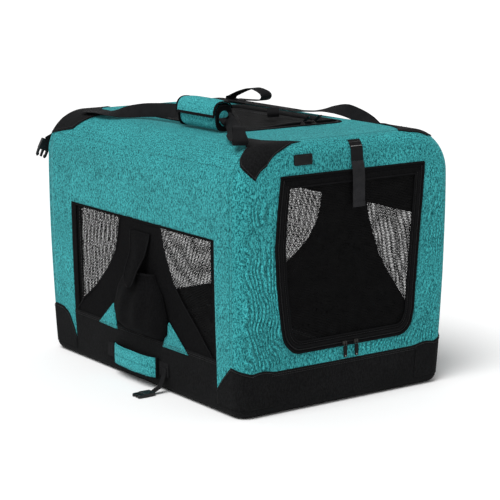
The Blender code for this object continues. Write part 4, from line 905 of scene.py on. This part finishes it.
# Gussets over the side windows: Y of their rear and fore edges by height
REAR_EDGE = [(0.118, 0.270), (0.153, 0.233), (0.194, 0.172), (0.247, 0.115), (0.295, 0.080), (0.340, 0.066)]
REAR_EDGE += [(0.377, 0.060)]
FORE_EDGE = [(0.118, -0.300), (0.168, -0.249), (0.220, -0.190), (0.256, -0.156), (0.293, -0.136)]
FORE_EDGE += [(0.338, -0.116), (0.377, -0.107)]
# Border strips of the windows: Y and Z ranges, counts of rows and columns, and lift
HEMS = {
    "rear": ((WINDOW_Y1 - 0.020, WINDOW_Y1 + 0.001), (0.112, WINDOW_TOP), 30, 5, 0.0001),
    "fore": ((WINDOW_Y0 - 0.001, WINDOW_Y0 + 0.005), (0.112, WINDOW_TOP), 30, 5, 0.0003),
    "top": ((WINDOW_Y0, WINDOW_Y1), (WINDOW_TOP - 0.005, WINDOW_TOP + 0.001), 4, 60, 0.0003),
}
# Teal darts that show beside the pouch
DARTS = {
    "rear": [(0.097, 0.167), (0.167, 0.108), (0.086, 0.106)],
    "fore": [(-0.135, 0.166), (-0.106, 0.105), (-0.207, 0.106)],
}


def gusset(label, side):
    zs = np.linspace(0.110, WINDOW_TOP + 0.002, 46)
    fore, rear = between(zs, FORE_EDGE), between(zs, REAR_EDGE)
    share = np.linspace(0, 1, 60)
    y = fore[:, None] * (1 - share) + rear[:, None] * share
    z = zs[:, None] + share * 0
    flat = np.stack([z * 0, y, z], -1)
    folds = noise_at(flat, 10.0, 40.0) * 0.0016 + np.abs(noise_at(flat, 22.0, 44.0)) * 0.0010
    lift = np.clip(folds, -0.0008, 0.0022) * fade(z, 0.118, 0.14) - 0.0006
    outer, inner = wall(side, z, y, lift), wall(side, z, y, lift - 0.0012)
    on_wall(shell(f"{label}_gusset_cloth", outer, inner, quads_of(*y.shape), [soft_black]), f"{label}_gusset")
    for number, line in enumerate((fore, rear), 1):
        path = wall(side, zs, line, 0.0002)
        on_wall(hem(f"{label}_gusset_hem_{number}", path, side * X_AXIS, 0.0022, 0.0009))


def window_trim(label, side):
    for part, (y_range, z_range, rows, columns, lift) in HEMS.items():
        g, y = np.meshgrid(np.linspace(*z_range, rows), np.linspace(*y_range, columns), indexing="ij")
        outer, inner = wall(side, g, y, lift), wall(side, g, y, -0.0020)
        on_wall(shell(f"{label}_window_{part}_hem", outer, inner, quads_of(rows, columns), [soft_black]))
    t, s = np.meshgrid(np.linspace(0, 1, 14), np.linspace(0, 1, 14), indexing="ij")
    for part, corners in DARTS.items():
        tip, b, c = np.array(corners)
        foot = b * (1 - s)[..., None] + c * s[..., None]
        grid = tip + (foot - tip) * np.maximum(t, 0.02)[..., None]
        outer, inner = (wall(side, grid[..., 1], grid[..., 0], lift) for lift in (0.0022, 0.0004))
        on_wall(shell(f"{label}_dart_{part}", outer, inner, quads_of(14, 14), [teal]))


for label, side in SIDES:
    gusset(label, side)
    window_trim(label, side)


# Roof corner patches: each outline gives the girth and the way along from the rounded end edge
def disc(name, outline, centre, place, look, lift=0.0021, depth=0.0012, count=150):
    """A closed patch inside an outline that each ray from its centre meets once, and its border."""
    centre = np.array(centre)
    border = star(outline, centre, np.linspace(0, TURN, count, endpoint=False))
    shares = [*np.linspace(0.04, 0.96, 12), 1.0]
    rows = [centre * (1 - t) + border * t for t in shares]
    layers = [place(*row.T, lift - 0.0006 * (t == 1.0)) for row, t in zip(rows, shares)]
    layers += [place(*row.T, lift - depth) for row in (rows[-1], rows[0])]
    made = make(name, np.concatenate(layers), tube_faces(len(layers), count), [look])
    outward = Vector(layers[0].mean(0) - layers[-1].mean(0))
    if made.data.polygons[-2].normal.dot(outward) < 0:
        made.data.flip_normals()
    return made, place(*(centre * 0.09 + border * 0.91).T, lift + 0.0002)


END_ARM = [(0.717, -0.013), (0.693, -0.014), (0.649, -0.032), (0.594, -0.055)]
FRONT_LEFT = [*END_ARM, (0.526, -0.053), (0.535, -0.03), (0.542, -0.013), (0.559, 0.001), (0.594, 0.015)]
FRONT_LEFT += [(0.604, 0.035), (0.639, 0.125), (0.649, 0.035), (0.675, 0.003)]
REAR = [*END_ARM, (0.518, -0.053), (0.55, 0.071), (0.569, 0.081), (0.597, 0.098), (0.660, 0.150)]
REAR += [(0.660, 0.035), (0.680, 0.003)]
FRONT_RIGHT = [(0.672, -0.006), (0.649, -0.016), (0.600, -0.024), (0.576, -0.012), (0.566, 0.012)]
FRONT_RIGHT += [(0.574, 0.050), (0.600, 0.112), (0.622, 0.118), (0.634, 0.060), (0.652, 0.020)]
PATCHES = {
    ("front", "left"): (FRONT_LEFT, (0.610, -0.012)),
    ("rear", "left"): (REAR, (0.610, 0.020)),
    ("front", "right"): (FRONT_RIGHT, (0.612, 0.014)),
    ("rear", "right"): (REAR, (0.610, 0.020)),
}
rows = []
for (end_name, side_name), (outline, centre) in PATCHES.items():
    sx, sy = dict(SIDES)[side_name], dict(ENDS)[end_name]
    place = lambda girth, run, lift, a=sx, b=sy: skin(a, b, girth, run, lift)
    made, line = disc(f"roof_patch_{end_name}_{side_name}", outline, centre, place, black)
    on(made, "roof", f"{end_name}_{side_name}_patch")
    rows.append((line, unit(line - [sx * 0.16, sy * 0.26, 0.45])))
on(stitches("roof_patch_stitching", rows, black_thread), "roof")

# Seams where the side walls and the roof meet the end walls, and along the base's band
seam_rows, roof_rows, band_rows = [], [], []
for _, sx in SIDES:
    for _, sy in ENDS:
        girth = np.linspace(0.120, GIRTH_SEAM, 60)
        seam_rows += [(skin(sx, sy, girth, run, 0.0004), sx * X_AXIS) for run in (0.0035, -0.0035)]
        girth = np.linspace(GIRTH_SEAM, GIRTH_MID, 60)
        _, _, nx, nz = section(girth, 0.0)
        roof_rows.append((skin(sx, sy, girth, 0.0035, 0.0004), np.stack([sx * nx, nx * 0, nz], -1)))
    for z in (0.1135, 0.1095):
        band_rows.append((wall(sx, z, np.linspace(-0.314, 0.277, 90), 0.0024), sx * X_AXIS))
for _, end in ENDS:
    for z in (0.0925, 0.0885):
        band_rows.append((front(np.linspace(-0.20, 0.20, 60), z, 0.0024, end), end * Y_AXIS))
on_wall(stitches("wall_seam_stitching", seam_rows, teal_thread))
on(stitches("roof_seam_stitching", roof_rows, teal_thread), "roof")
on(stitches("base_band_stitching", band_rows, black_thread), "base")


# Pouch and its flap
def pouch():
    low, top = 0.122, 0.262
    t, turn = np.meshgrid(np.linspace(0, 1, 34), np.linspace(0, math.pi, 44), indexing="ij")
    width = between(t, [(0, 0.80), (0.10, 0.97), (0.35, 1.0), (0.7, 0.84), (0.9, 0.62), (1.0, 0.56)])
    depth = between(t, [(0, 0.45), (0.10, 0.86), (0.35, 1.0), (0.7, 0.80), (0.9, 0.60), (1.0, 0.60)])
    bulge = np.sin(turn)
    crease = 0.0022 * np.sin(9.0 * turn + 4.0 * t) * np.sin(math.pi * t) * bulge
    gather = 0.0026 * np.sin(26.0 * turn) * np.maximum(t - 0.72, 0.0) / 0.28 * bulge
    bend = noise_at(np.stack([turn * 1.7, t * 4.0, t * 0 + 3.3], -1), 1.0)
    bend = 0.004 * bend * np.sin(math.pi * np.minimum(t * 1.2, 1.0))
    lift = np.clip(0.034 * depth * bulge**0.75 + (crease + gather + bend) * bulge, 0.0012, 0.0375)
    outer = wall(-1, low + (top - low) * t, POUCH_Y - 0.105 * width * np.cos(turn), lift)
    pull = unit((outer - [-0.286, POUCH_Y, 0.0]) * [1, 1, 0])
    on_wall(shell("pouch_bag", outer, outer - pull * 0.0016, quads_of(*t.shape), [soft_black]), "side_pouch")
    foot = wall(-1, 0.124, np.linspace(-0.110, 0.056, 30), 0.0022)
    on_wall(hem("pouch_foot_hem", foot, -X_AXIS, 0.0040, 0.0012))
    on_wall(hem("pouch_mouth_hem", outer[-1], Z_AXIS, 0.0016, 0.0030))


def pouch_flap():
    stops = [(0.232, 0.0375), (0.248, 0.0345), (0.270, 0.0270), (0.300, 0.0120), (0.340, 0.0020)]
    stops.append((0.352, 0.0008))
    t, s = np.meshgrid(np.linspace(0, 1, 28), np.linspace(-1, 1, 16), indexing="ij")
    z = 0.352 - 0.120 * t
    tip = np.sqrt(np.maximum(1 - ((t - 0.86) / 0.15) ** 2, 0.08))
    half = (0.040 - 0.023 * t) * np.where(t > 0.86, tip, 1.0)
    fold = 0.0016 * np.sin(3.1 * s + 5 * t) * np.sin(math.pi * t)
    outer = wall(-1, z, POUCH_Y + s * half, between(z, stops) + fold - 0.0025 * s * s * t + 0.002)
    made = shell("pouch_cover_flap", outer, outer + 0.0018 * X_AXIS, quads_of(*t.shape), [soft_black])
    on_wall(made, "pouch_flap", body="pouch_flap")
    rim = np.concatenate([outer[:, 0], outer[-1, 1:-1], outer[::-1, -1]])
    on_wall(hem("pouch_flap_hem", rim, -X_AXIS, 0.0024, 0.0014), body="pouch_flap")


pouch()
pouch_flap()

# Roof handles: the webbing's routes, and its tilt by Y
GRIP = np.array([-0.164, -0.098, 0.6104])
GRIP_X, _, GRIP_Z = GRIP
left_stops = [(-SEWN_X, 0.323, 0.5812), (-SEWN_X, 0.293, 0.5826), (-0.2145, 0.200, 0.5895)]
left_stops += [(-0.1760, 0.120, 0.6005), (GRIP_X, -0.009, GRIP_Z), (GRIP_X, -0.021, GRIP_Z), tuple(GRIP)]
left_stops += [(GRIP_X, -0.175, GRIP_Z), (GRIP_X, -0.187, GRIP_Z - 0.002), (-0.184, -0.2326, 0.5975)]
left_stops += [(-SEWN_X, -0.293, 0.5826), (-SEWN_X, -0.323, 0.5812)]
left_tilt = [(-0.280, 0), (-0.262, 20), (-0.232, 50), (-0.190, 72), (-0.176, 0), (-0.020, 0), (-0.004, 60)]
left_tilt += [(0.050, 80), (0.125, 75), (0.165, 50), (0.205, 20), (0.250, 0)]
right_stops = [(0.2410, -0.315, 0.5690), (0.2408, -0.260, 0.5692), (0.2405, -0.225, 0.5698)]
right_stops += [(0.2385, -0.192, 0.5716), (0.2310, -0.155, 0.5840), (0.2170, -0.118, 0.5958)]
right_stops += [(0.2010, -0.080, 0.5958), (0.1865, -0.040, 0.5888)]
right_stops += [(0.1780, y, 0.5851) for y in (0.006, 0.040, 0.129, 0.245)]
right_stops += [(0.1780, 0.281, 0.5861), (0.1789, 0.289, 0.5921), (0.1822, 0.278, 0.5991)]
right_stops += [(0.1921, 0.249, 0.6121), (0.2019, 0.223, 0.6181), (0.2118, 0.199, 0.6101)]
right_stops += [(0.2162, 0.194, 0.5991), (0.2188, 0.210, 0.5891)]
right_stops += [(SEWN_X, 0.245, 0.5856), (SEWN_X, 0.293, 0.5826), (SEWN_X, 0.323, 0.5812)]
right_tilt = [(-0.235, -29), (-0.205, -12), (-0.180, 35), (-0.152, 60), (-0.122, 55), (-0.095, 30)]
right_tilt += [(-0.065, 12), (-0.030, 0)]


def handle_half(name, path, tilt):
    """Half of a handle's webbing, from its sewn end on the roof to the middle of the handle."""
    roll = np.radians(between(path[:, 1], tilt))
    across = np.stack([np.cos(roll), roll * 0, np.sin(roll)], -1)
    made = strap(name, path, np.cross(across, unit(np.gradient(path, axis=0))), STRAP, 0.0019)
    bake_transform(made)
    return made


left_path = smooth_path(left_stops, 9)
middle = np.argmin(np.abs(left_path[:, 1] - GRIP[1]))
start, end = (-0.2, 0.29, 0.58), (-0.2, 0.0, 0.58)
made = handle_half("left_webbing_rear", left_path[: middle + 1], left_tilt)
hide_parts("left_handle_strap")
handle_half("left_webbing_front", left_path[middle:], left_tilt)
right_path = smooth_path(right_stops, 7)
middle = np.argmin(np.hypot(right_path[:, 1] - 0.129, right_path[:, 2] - 0.5851))
start, end = (0.2, -0.28, 0.58), (0.2, -0.13, 0.58)
made = handle_half("right_webbing_front", right_path[: middle + 1], right_tilt)
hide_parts("right_handle_strap")
handle_half("right_webbing_rear", right_path[middle:], right_tilt)
rows = []
sewn_ends = [(-SEWN_X, -1, 0, 0), (-SEWN_X, 1, 0, 0), (0.2410, -1, 0.0122, 0.55), (SEWN_X, 1, 0, 0)]
for x, sy, drop, slope in sewn_ends:
    for dy in (0.0, 0.018):
        off = np.linspace(-0.012, 0.012, 12)
        z = 0.5833 - drop - off * slope
        rows.append((np.stack([x + off, off * 0 + sy * (0.318 - dy), z], -1), Z_AXIS))
on(stitches("handle_stitching", rows, black_thread), "roof")


def plump(obj, pressure, cap, voxel=0.004):
    """Swells a closed pad by a short cloth simulation, keeps each point near its start, and smooths it."""
    bpy.context.view_layer.objects.active = obj
    for other in bpy.context.selected_objects:
        other.select_set(False)
    obj.select_set(True)
    remesh = obj.modifiers.new("remesh", "REMESH")
    remesh.mode = "VOXEL"
    remesh.voxel_size = voxel
    bpy.ops.object.modifier_apply(modifier="remesh")
    before = np.array([v.co for v in obj.data.vertices])
    cloth_step = obj.modifiers.new("cloth", "CLOTH")
    cloth_step.settings.use_pressure = True
    cloth_step.settings.uniform_pressure_force = pressure
    cloth_step.settings.effector_weights.gravity = 0.0
    scene = bpy.context.scene
    start = scene.frame_current
    for number in range(1, 21):
        scene.frame_set(number)
    shape = obj.evaluated_get(bpy.context.evaluated_depsgraph_get()).data
    move = np.array([v.co for v in shape.vertices]) - before
    obj.modifiers.remove(cloth_step)
    move *= np.minimum(1.0, cap / np.maximum(np.linalg.norm(move, axis=1, keepdims=True), 1e-9))
    for vertex, place in zip(obj.data.vertices, before + move):
        vertex.co = place
    scene.frame_set(start)
    fine = obj.modifiers.new("fine", "SUBSURF")
    fine.levels = 1
    fine.render_levels = 1
    bpy.ops.object.modifier_apply(modifier="fine")
    obj.data.shade_smooth()


def wrap_pad():
    """The padded grip: a rolled pad whose upper edge laps over its front as a flap with a bound border."""

    def grip_ring(half_x, half_z, y):
        x, z = oval(half_x, half_z, 40, 0.72, 0.0).T
        return GRIP + np.stack([x, x * 0 + y, z], -1)

    rings = []
    for t in np.linspace(-1, 1, 26):
        shrink = 0.0035 * max(abs(t) - 0.80, 0) / 0.2 + 0.0008
        rings.append(grip_ring(0.0212 - shrink, 0.0285 - shrink, t * 0.074))
    grip = make("grip_pad", np.concatenate(rings), tube_faces(26, 40), [teal_pad])
    plump(grip, 3.0, 0.0016)
    on(grip, "handle", "handle_wrap")
    t, share = np.meshgrid(np.linspace(-1, 1, 22), np.linspace(0, 1, 26), indexing="ij")
    turn = np.radians(40 + 136 * share)
    puff = (0.0080 * np.sin(math.pi * share**0.8) + 0.0030 * share**3) * (1 - 0.45 * t**4)
    x, z = (0.0248 + puff * 0.8) * power(np.cos(turn), 0.75), (0.0308 + puff) * power(np.sin(turn), 0.75)
    outer = GRIP + np.stack([x, t * 0.0730, z], -1)
    outward = unit((outer - GRIP) * [1, 0, 1])
    on(shell("grip_flap", outer, outer - outward * 0.0022, quads_of(*t.shape), [teal_pad, lining]), "handle")
    rim, outs = (np.concatenate([g[0, :-1], g[:-1, -1], g[-1, :0:-1], g[:0:-1, 0]]) for g in (outer, outward))
    on(hem("grip_flap_binding", rim, outs, 0.0034, 0.0018, True), "handle")
    for label, end in ENDS:
        ring = grip_ring(0.0203, 0.0276, end * 0.0732)
        heart = GRIP + end * 0.0732 * Y_AXIS
        on(hem(f"grip_end_binding_{label}", ring, unit(ring - heart), 0.0026, 0.0016, True), "handle")
        plates = [heart + (ring - heart) * 0.97 + end * away * Y_AXIS for away in (0.0002, 0.0014)]
        on(box_loft(f"grip_end_cover_{label}", plates, soft_black), "handle")


wrap_pad()


# Tie strap with its sewn seat, and the blank tag
def tie():
    low = SEAM_Z
    seat = [(TIE_X, -half_length(z) - 0.0013, z) for z in (low, 0.549)]
    for turn in QUARTER * 0.56 * np.arange(1, 9) / 8:
        z = HEIGHT - EDGE_R + (EDGE_R + 0.0013) * math.sin(turn)
        seat.append((TIE_X, -(half_length(z) - EDGE_R) - (EDGE_R + 0.0013) * math.cos(turn), z))
    seat = resample(seat, 0.003)
    rise = np.clip((seat[:, 2] - (HEIGHT - EDGE_R)) / EDGE_R, 0, 1)
    outs = np.stack([rise * 0, -np.cos(np.arcsin(rise)), rise], -1)
    on_wall_top(strap("tie_seat", seat, outs, STRAP), "front_tie_seat")
    rows = []
    xs = np.linspace(TIE_X - 0.015, TIE_X + 0.015, 10)
    for z in (0.5615, 0.5695):
        turn = math.asin((z - (HEIGHT - EDGE_R)) / EDGE_R)
        y = -(half_length(z) - EDGE_R) - (EDGE_R + 0.0026) * math.cos(turn)
        rows.append((np.stack([xs, xs * 0 + y, xs * 0 + z], -1), (0.0, -math.cos(turn), math.sin(turn))))
    on_wall_top(stitches("tie_stitching", rows, pale_thread, 0.0030, 0.0012, 0.0012, 0.0008))
    stand, foot_x, foot_z = -half_length(WIDEST_Z) - 0.0047, TIE_X + 0.0024, 0.4312
    stops = [(TIE_X, -half_length(low) - 0.0017, 0.5297), (TIE_X + 0.0004, stand + 0.001, 0.515)]
    stops += [(TIE_X + 0.0010, stand - 0.0006, 0.490), (TIE_X + 0.0016, stand, 0.460)]
    stops += [(foot_x, stand + 0.0004, foot_z)]
    made = strap("tie_strap", smooth_path(stops, 10), -Y_AXIS, STRAP, look=tie_web)
    on_wall(made, "front_tie", body="front_tie")
    fold = resample([(foot_x, stand - 0.0006, foot_z + 0.0110), (foot_x, stand - 0.0004, foot_z)], 0.003)
    on_wall(strap("tie_strap_hem", fold, -Y_AXIS, STRAP + 0.0002, look=tie_web), body="front_tie")


def blank_tag():
    outline = np.array(rounded_rect(-0.148, -0.100, 0.5325, 0.5555, 0.0035, 6))
    centre = np.array([-0.124, 0.544])
    levels = [(0.0, -0.0001), (0.0, 0.0014), (0.05, 0.0018), (0.10, 0.0018), (0.13, 0.0014), (0.9, 0.0014)]
    rings = []
    for share, lift in levels:
        rings.append(front(*(centre + (outline - centre) * (1 - share)).T, lift))
    faces = tube_faces(len(rings), len(outline))
    on_wall_top(make("blank_tag", np.concatenate(rings), faces, [tag_rubber], angle=40), "name_tag")
    line = outline_path(rounded_rect(-0.1455, -0.1025, 0.535, 0.553, 0.002, 4), front, 0.0016, True, 0.002)
    on_wall_top(stitches("tag_stitching", [(line, -Y_AXIS)], black_thread, 0.0018, 0.0012, 0.0006, 0.0004))


tie()
blank_tag()

# Zip sliders and pulls: level and growth of each ring of their blocks
SLIDER = [(0.0, -0.0006), (0.0005, 0.0), (0.0017, 0.0), (0.0021, -0.0012), (0.0026, -0.0012), (0.0030, 0.0)]
SLIDER += [(0.0040, -0.0002), (0.0044, -0.0010)]
TAB = [(-0.0010, -0.0010), (-0.0007, 0.0), (0.0007, 0.0), (0.0010, -0.0010)]
EYE = [(-0.0013, -0.0004), (0.0013, -0.0004)]


def zip_set(label, middle, down, out, rise):
    """Two sliders on a zip with their pulls, which stand up from the cloth by rise degrees."""
    lean = math.radians(rise)
    pull_down = down * math.cos(lean) + out * math.sin(lean)
    pull_out = out * math.cos(lean) - down * math.sin(lean)
    for side, sign in SIDES:
        slider, pull = f"{label}_slider_{side}", f"{label}_pull_{side}"
        centre = middle + X_AXIS * sign * 0.0155 + out * 0.0003
        rect, axes = (-0.0055, 0.0055, -0.0040, 0.0040), (X_AXIS, down, out)
        made = block(slider, centre, axes, rect, 0.0018, 4, SLIDER, slider_metal)
        on(made, slider, f"{label}_zip_slider_{side}")
        turn = np.linspace(0, math.pi, 12)[:, None]
        bridge = centre + down * (0.0032 * (1 - np.cos(turn)) - 0.0034)
        bridge = bridge + out * (0.0040 + 0.0034 * np.sin(turn))
        on(sweep(f"{label}_slider_loop_{side}", bridge, X_AXIS, oval(0.0012, 0.0006), slider_metal), slider)
        top = centre + out * 0.0053 - down * 0.0018
        axes = (X_AXIS, pull_down, pull_out)
        link = top + np.array(rounded_rect(-0.0034, 0.0034, 0.0, 0.0100, 0.0030, 5)) @ np.array(axes[:2])
        on(sweep(f"{label}_pull_ring_{side}", link, pull_out, oval(0.0008, 0.0008), slider_metal, True), pull)
        rect = (-0.0048, 0.0048, 0.0080, 0.0338)
        made = block(f"{label}_pull_tab_{side}", top, axes, rect, 0.0034, 5, TAB, pull_rubber)
        on(made, pull, f"{label}_zip_pull_{side}")
        rect = (-0.0020, 0.0020, 0.0286, 0.0326)
        on(block(f"{label}_pull_end_{side}", top, axes, rect, 0.0019, 4, EYE, pull_eye), pull)


foot = DOOR_LOW + TAPE / 2
zip_set("front", np.array([DOOR_X, -half_length(foot), foot]), -Z_AXIS, -Y_AXIS, 0)
zip_set("top", np.array([0.055, TOP_Y0 + TAPE / 2, HEIGHT]), -Y_AXIS, Z_AXIS, 34)


# The small padded handle on the base and its strap
def fold_handle():
    skin_x, half, middle_y, middle_z = half_width(0.078) + 0.0003, 0.089, 0.002, 0.052

    def at(t, away, z=middle_z):
        """A point or a path along the handle, where t is -1 at its front end and 1 at its rear end."""
        t, z = np.broadcast_arrays(t, z)
        return np.stack([-(skin_x + 0.012 * np.maximum(1 - t**4, 0.0) + away), middle_y + t * half, z], -1)

    rings = []
    for t in np.linspace(-1, 1, 30):
        _, c = oval(1.0, 0.0252 * (1 - 0.05 * abs(t) ** 6), 24, 0.5, 0.0).T
        a, _ = oval(1.0, 1.0, 24, 0.6, 0.0).T
        ring = at(t, 0.0024 + 0.0027 * (1 + a) * (0.8 if abs(t) > 0.97 else 1.0), middle_z + c)
        ring[:, 1] = middle_y + t * half * 0.995
        rings.append(ring)
    pad = box_loft("side_grip_pad", rings, teal_pad, angle=60)
    plump(pad, 2.5, 0.0012, 0.003)
    on(pad, "fold_handle", "fold_handle_pad")
    run = np.linspace(-0.98, 0.98, 50)
    rows = [(at(run, 0.0094), -X_AXIS)]
    rows += [(at(run, 0.0088, z), -X_AXIS) for z in (0.031, 0.073)]
    on(stitches("side_grip_stitching", rows, teal_thread), "fold_handle")
    for label, end in ENDS:
        path = at(end * 0.985, 0.0060, np.linspace(0.0275, 0.0765, 14))
        path[:, 1] = middle_y + end * half
        on(hem(f"side_grip_end_{label}", path, -X_AXIS, 0.0026, 0.0034), "fold_handle")
    reach = 1.0 + 0.040 / half
    stops = np.array([0.4, 0.6, 0.8, 0.9, 1.0, 1.05, 1.2, reach])
    path = resample(at([*-stops[::-1], 0.0, *stops], 0.0009), 0.003)
    middle = len(path) // 2
    halves = [(path[: middle + 1], (-0.29, -0.10, 0.05), (-0.29, -0.05, 0.05))]
    halves += [(path[middle:], (-0.29, 0.104, 0.05), (-0.29, 0.054, 0.05))]
    for (label, _), (part, start, end) in zip(ENDS, halves):
        made = strap(f"side_grip_web_{label}", part, -X_AXIS, STRAP)
        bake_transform(made)
        if label == "front":
            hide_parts("fold_handle_web")
    rows = []
    zs = np.linspace(0.040, 0.064, 12)
    for _, end in ENDS:
        for dy in (0.006, 0.022, 0.034):
            y = middle_y + end * (half + dy)
            rows.append((np.stack([zs * 0 - skin_x - 0.0019, zs * 0 + y, zs], -1), -X_AXIS))
    on(stitches("side_grip_web_stitching", rows, black_thread), "base")


fold_handle()

# A side release plug: a slotted body, two sprung prongs with barbs and a middle tongue, along and across
PLUG_BODY = [(-0.5, -0.80), (-0.46, -0.88), (0.02, -0.98), (0.10, -0.90), (0.10, 0.90), (0.02, 0.98)]
PLUG_BODY += [(-0.46, 0.88), (-0.5, 0.80)]
PRONG = [(0.08, -0.98), (0.40, -0.93), (0.49, -0.70), (0.42, -0.50), (0.30, -0.52), (0.30, -0.64)]
PRONG += [(0.08, -0.60)]
TONGUE = [(0.08, -0.17), (0.44, -0.13), (0.46, 0.0), (0.44, 0.13), (0.08, 0.17)]
PLUG_HALF, PLUG_LENGTH = 0.015, 0.046


def plug(name, centre, ahead, across):
    ahead, across = unit(ahead), unit(across)
    upward = np.cross(ahead, across)
    points, faces = [], []
    for shape in (PLUG_BODY, PRONG, [(a, -b) for a, b in PRONG[::-1]], TONGUE):
        tall = 0.0044 if shape is PLUG_BODY else 0.0030
        shape = np.array(shape)
        middle = shape.mean(0)
        faces += [[i + len(points) for i in face] for face in tube_faces(4, len(shape))]
        for lift, grow in ((-tall, 0.93), (-tall * 0.8, 1.0), (tall * 0.8, 1.0), (tall, 0.93)):
            along, side = (middle + (shape - middle) * grow).T[..., None]
            points += [*(centre + ahead * along * PLUG_LENGTH + across * side * PLUG_HALF + upward * lift)]
    return make(name, points, faces, [buckle_plastic], angle=30)


x = half_width(0.078) + 0.0024
stops = [(-x - 0.0009, -0.112, 0.058), (-x - 0.0029, -0.112, 0.040), (-x - 0.0109, -0.110, 0.018)]
stops += [(-x - 0.0289, -0.108, 0.0063)]
on(strap("closure_webbing", smooth_path(stops), (-1, 0, 0.6), 0.016), "closure_strap", "closure_strap")
made = plug("closure_plug", np.array(stops[-1]) + [-0.0243, 0.0, -0.0018], -X_AXIS, Y_AXIS)
on(made, "closure_buckle", "closure_buckle")

x, y = -(ARC_X + TOP_R * 0.55), half_length(SEAM_Z) + 0.0025
stops = [(x, y + 0.0009, 0.530), (x - 0.002, y + 0.0030, 0.5215), (x - 0.014, y + 0.0056, 0.512)]
stops += [(x - 0.031, y + 0.0066, 0.504)]
on(strap("corner_webbing", smooth_path(stops), (0, 1, 0.2), 0.024), "corner_strap", "rear_corner_strap")
ahead = unit(np.array([-0.42, 0.05, -1.0]))
centre = np.array(stops[-1]) + ahead * 0.0180 + [0.0, 0.0022, 0.0]
on(plug("corner_plug", centre, ahead, np.array([1, 0, -0.42])), "corner_buckle", "rear_corner_buckle")


def corner_loop():
    """The folded webbing loop on the roof's front left corner, leaning and crushed towards its top."""
    low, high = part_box("front_corner_loop")
    heart = np.array((low + high) / 2)
    half_y, half_z = (high.y - low.y) / 2 - 0.0010, (high.z - low.z) / 2 - 0.0010
    turns = np.linspace(0, TURN, 40, endpoint=False)
    c, s = np.cos(turns), np.sin(turns)
    rise = half_z * power(s, 0.7)
    lean = 0.16 * (rise + half_z) + 0.0016 * np.sin(5 * turns)
    reach = half_y * (0.92 - 0.12 * s) * power(c, 0.8)
    loop = np.stack([c * 0, reach + lean - 0.003, rise], -1)
    turn = math.radians(-32)
    sideways = np.array([math.cos(turn), math.sin(turn), 0.0])
    spin = np.array([sideways, [-math.sin(turn), math.cos(turn), 0.0], Z_AXIS])
    width = high.x - low.x - 0.0006
    made = strap("corner_loop_webbing", heart + loop @ spin, unit(loop) @ spin, width, closed=True)
    for vertex in made.data.vertices:
        place = np.array(vertex.co)
        off = (place - heart) @ sideways
        tall = (place[2] - low.z) / (high.z - low.z)
        crush = 0.30 * tall**2 + 0.05 * math.sin(9 * tall + 120 * off)
        vertex.co = place - sideways * (off * crush + 0.004 * tall**2)
    on(made, "roof", "front_corner_loop")


corner_loop()

# Floor mat over the board
low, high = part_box("floor_board")
rect = (low.x + 0.0005, high.x - 0.0005, low.y + 0.0005, high.y - 0.0005)
base = (low.z + 0.0001) * Z_AXIS
levels = [(0.0, 0.002), (0.0015, 0.0), (0.008, 0.0), (0.0098, 0.0025)]
on(block("floor_mat", base, np.eye(3), rect, 0.015, 6, levels, mat_cloth), "base", "floor_board")
path = base + 0.008 * Z_AXIS + np.array(rounded_rect(*rect, 0.015, 6)) @ np.eye(3)[:2]
on(hem("floor_mat_binding", path, Z_AXIS, 0.0014, 0.0022, True), "base")

# The frame's pieces keep their solids
for node in ("base_frame", "front_legs", "rear_legs", "front_bow", "rear_bow", "left_rail", "right_rail"):
    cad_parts[node].data.materials.clear()
    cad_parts[node].data.materials.append(tube_steel)
for kind in ("clip", "bracket"):
    for end_name, _ in ENDS:
        for side_name, _ in SIDES:
            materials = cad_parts[f"{end_name}_{side_name}_{kind}"].data.materials
            materials.clear()
            materials.append(socket_plastic)

# Floor, world and lamp
corners = [(-30, -30, 0), (30, -30, 0), (30, 30, 0), (-30, 30, 0)]
floor = make("floor", corners, [(0, 1, 2, 3)], [], smooth=False)
floor_look, _, floor_shader = new_material("pale_floor", 0.9, specular=0.0)
floor_shader.inputs["Base Color"].default_value = (0.965, 0.965, 0.965, 1.0)
floor.data.materials.append(floor_look)

world = bpy.data.worlds.new("studio")
bpy.context.scene.world = world
world.use_nodes = True
tree = world.node_tree
tree.nodes.clear()
rays = add_node(tree, "LightPath").outputs
seen = calculate(tree, "MAXIMUM", rays["Is Camera Ray"], rays["Is Glossy Ray"])
seen = calculate(tree, "MAXIMUM", seen, rays["Is Transmission Ray"])
white = ("Color", (1, 1, 1, 1))
dim = add_node(tree, "Background", white, ("Strength", 0.46))
bright = add_node(tree, "Background", white, ("Strength", 1.0))
mix = add_node(tree, "MixShader", ("Fac", seen), (1, dim.outputs[0]), (2, bright.outputs[0]))
add_node(tree, "OutputWorld", ("Surface", mix.outputs[0]))

toward = Vector((-0.50, -0.22, 0.92))
lamp_data = bpy.data.lights.new("key", "SUN")
lamp_data.energy = 2.55
lamp_data.angle = math.radians(34)
lamp = bpy.data.objects.new("key", lamp_data)
lamp.location = toward * 3.0
lamp.rotation_euler = toward.to_track_quat("Z", "Y").to_euler()
bpy.context.scene.collection.objects.link(lamp)

bpy.context.scene.view_settings.view_transform = "Standard"
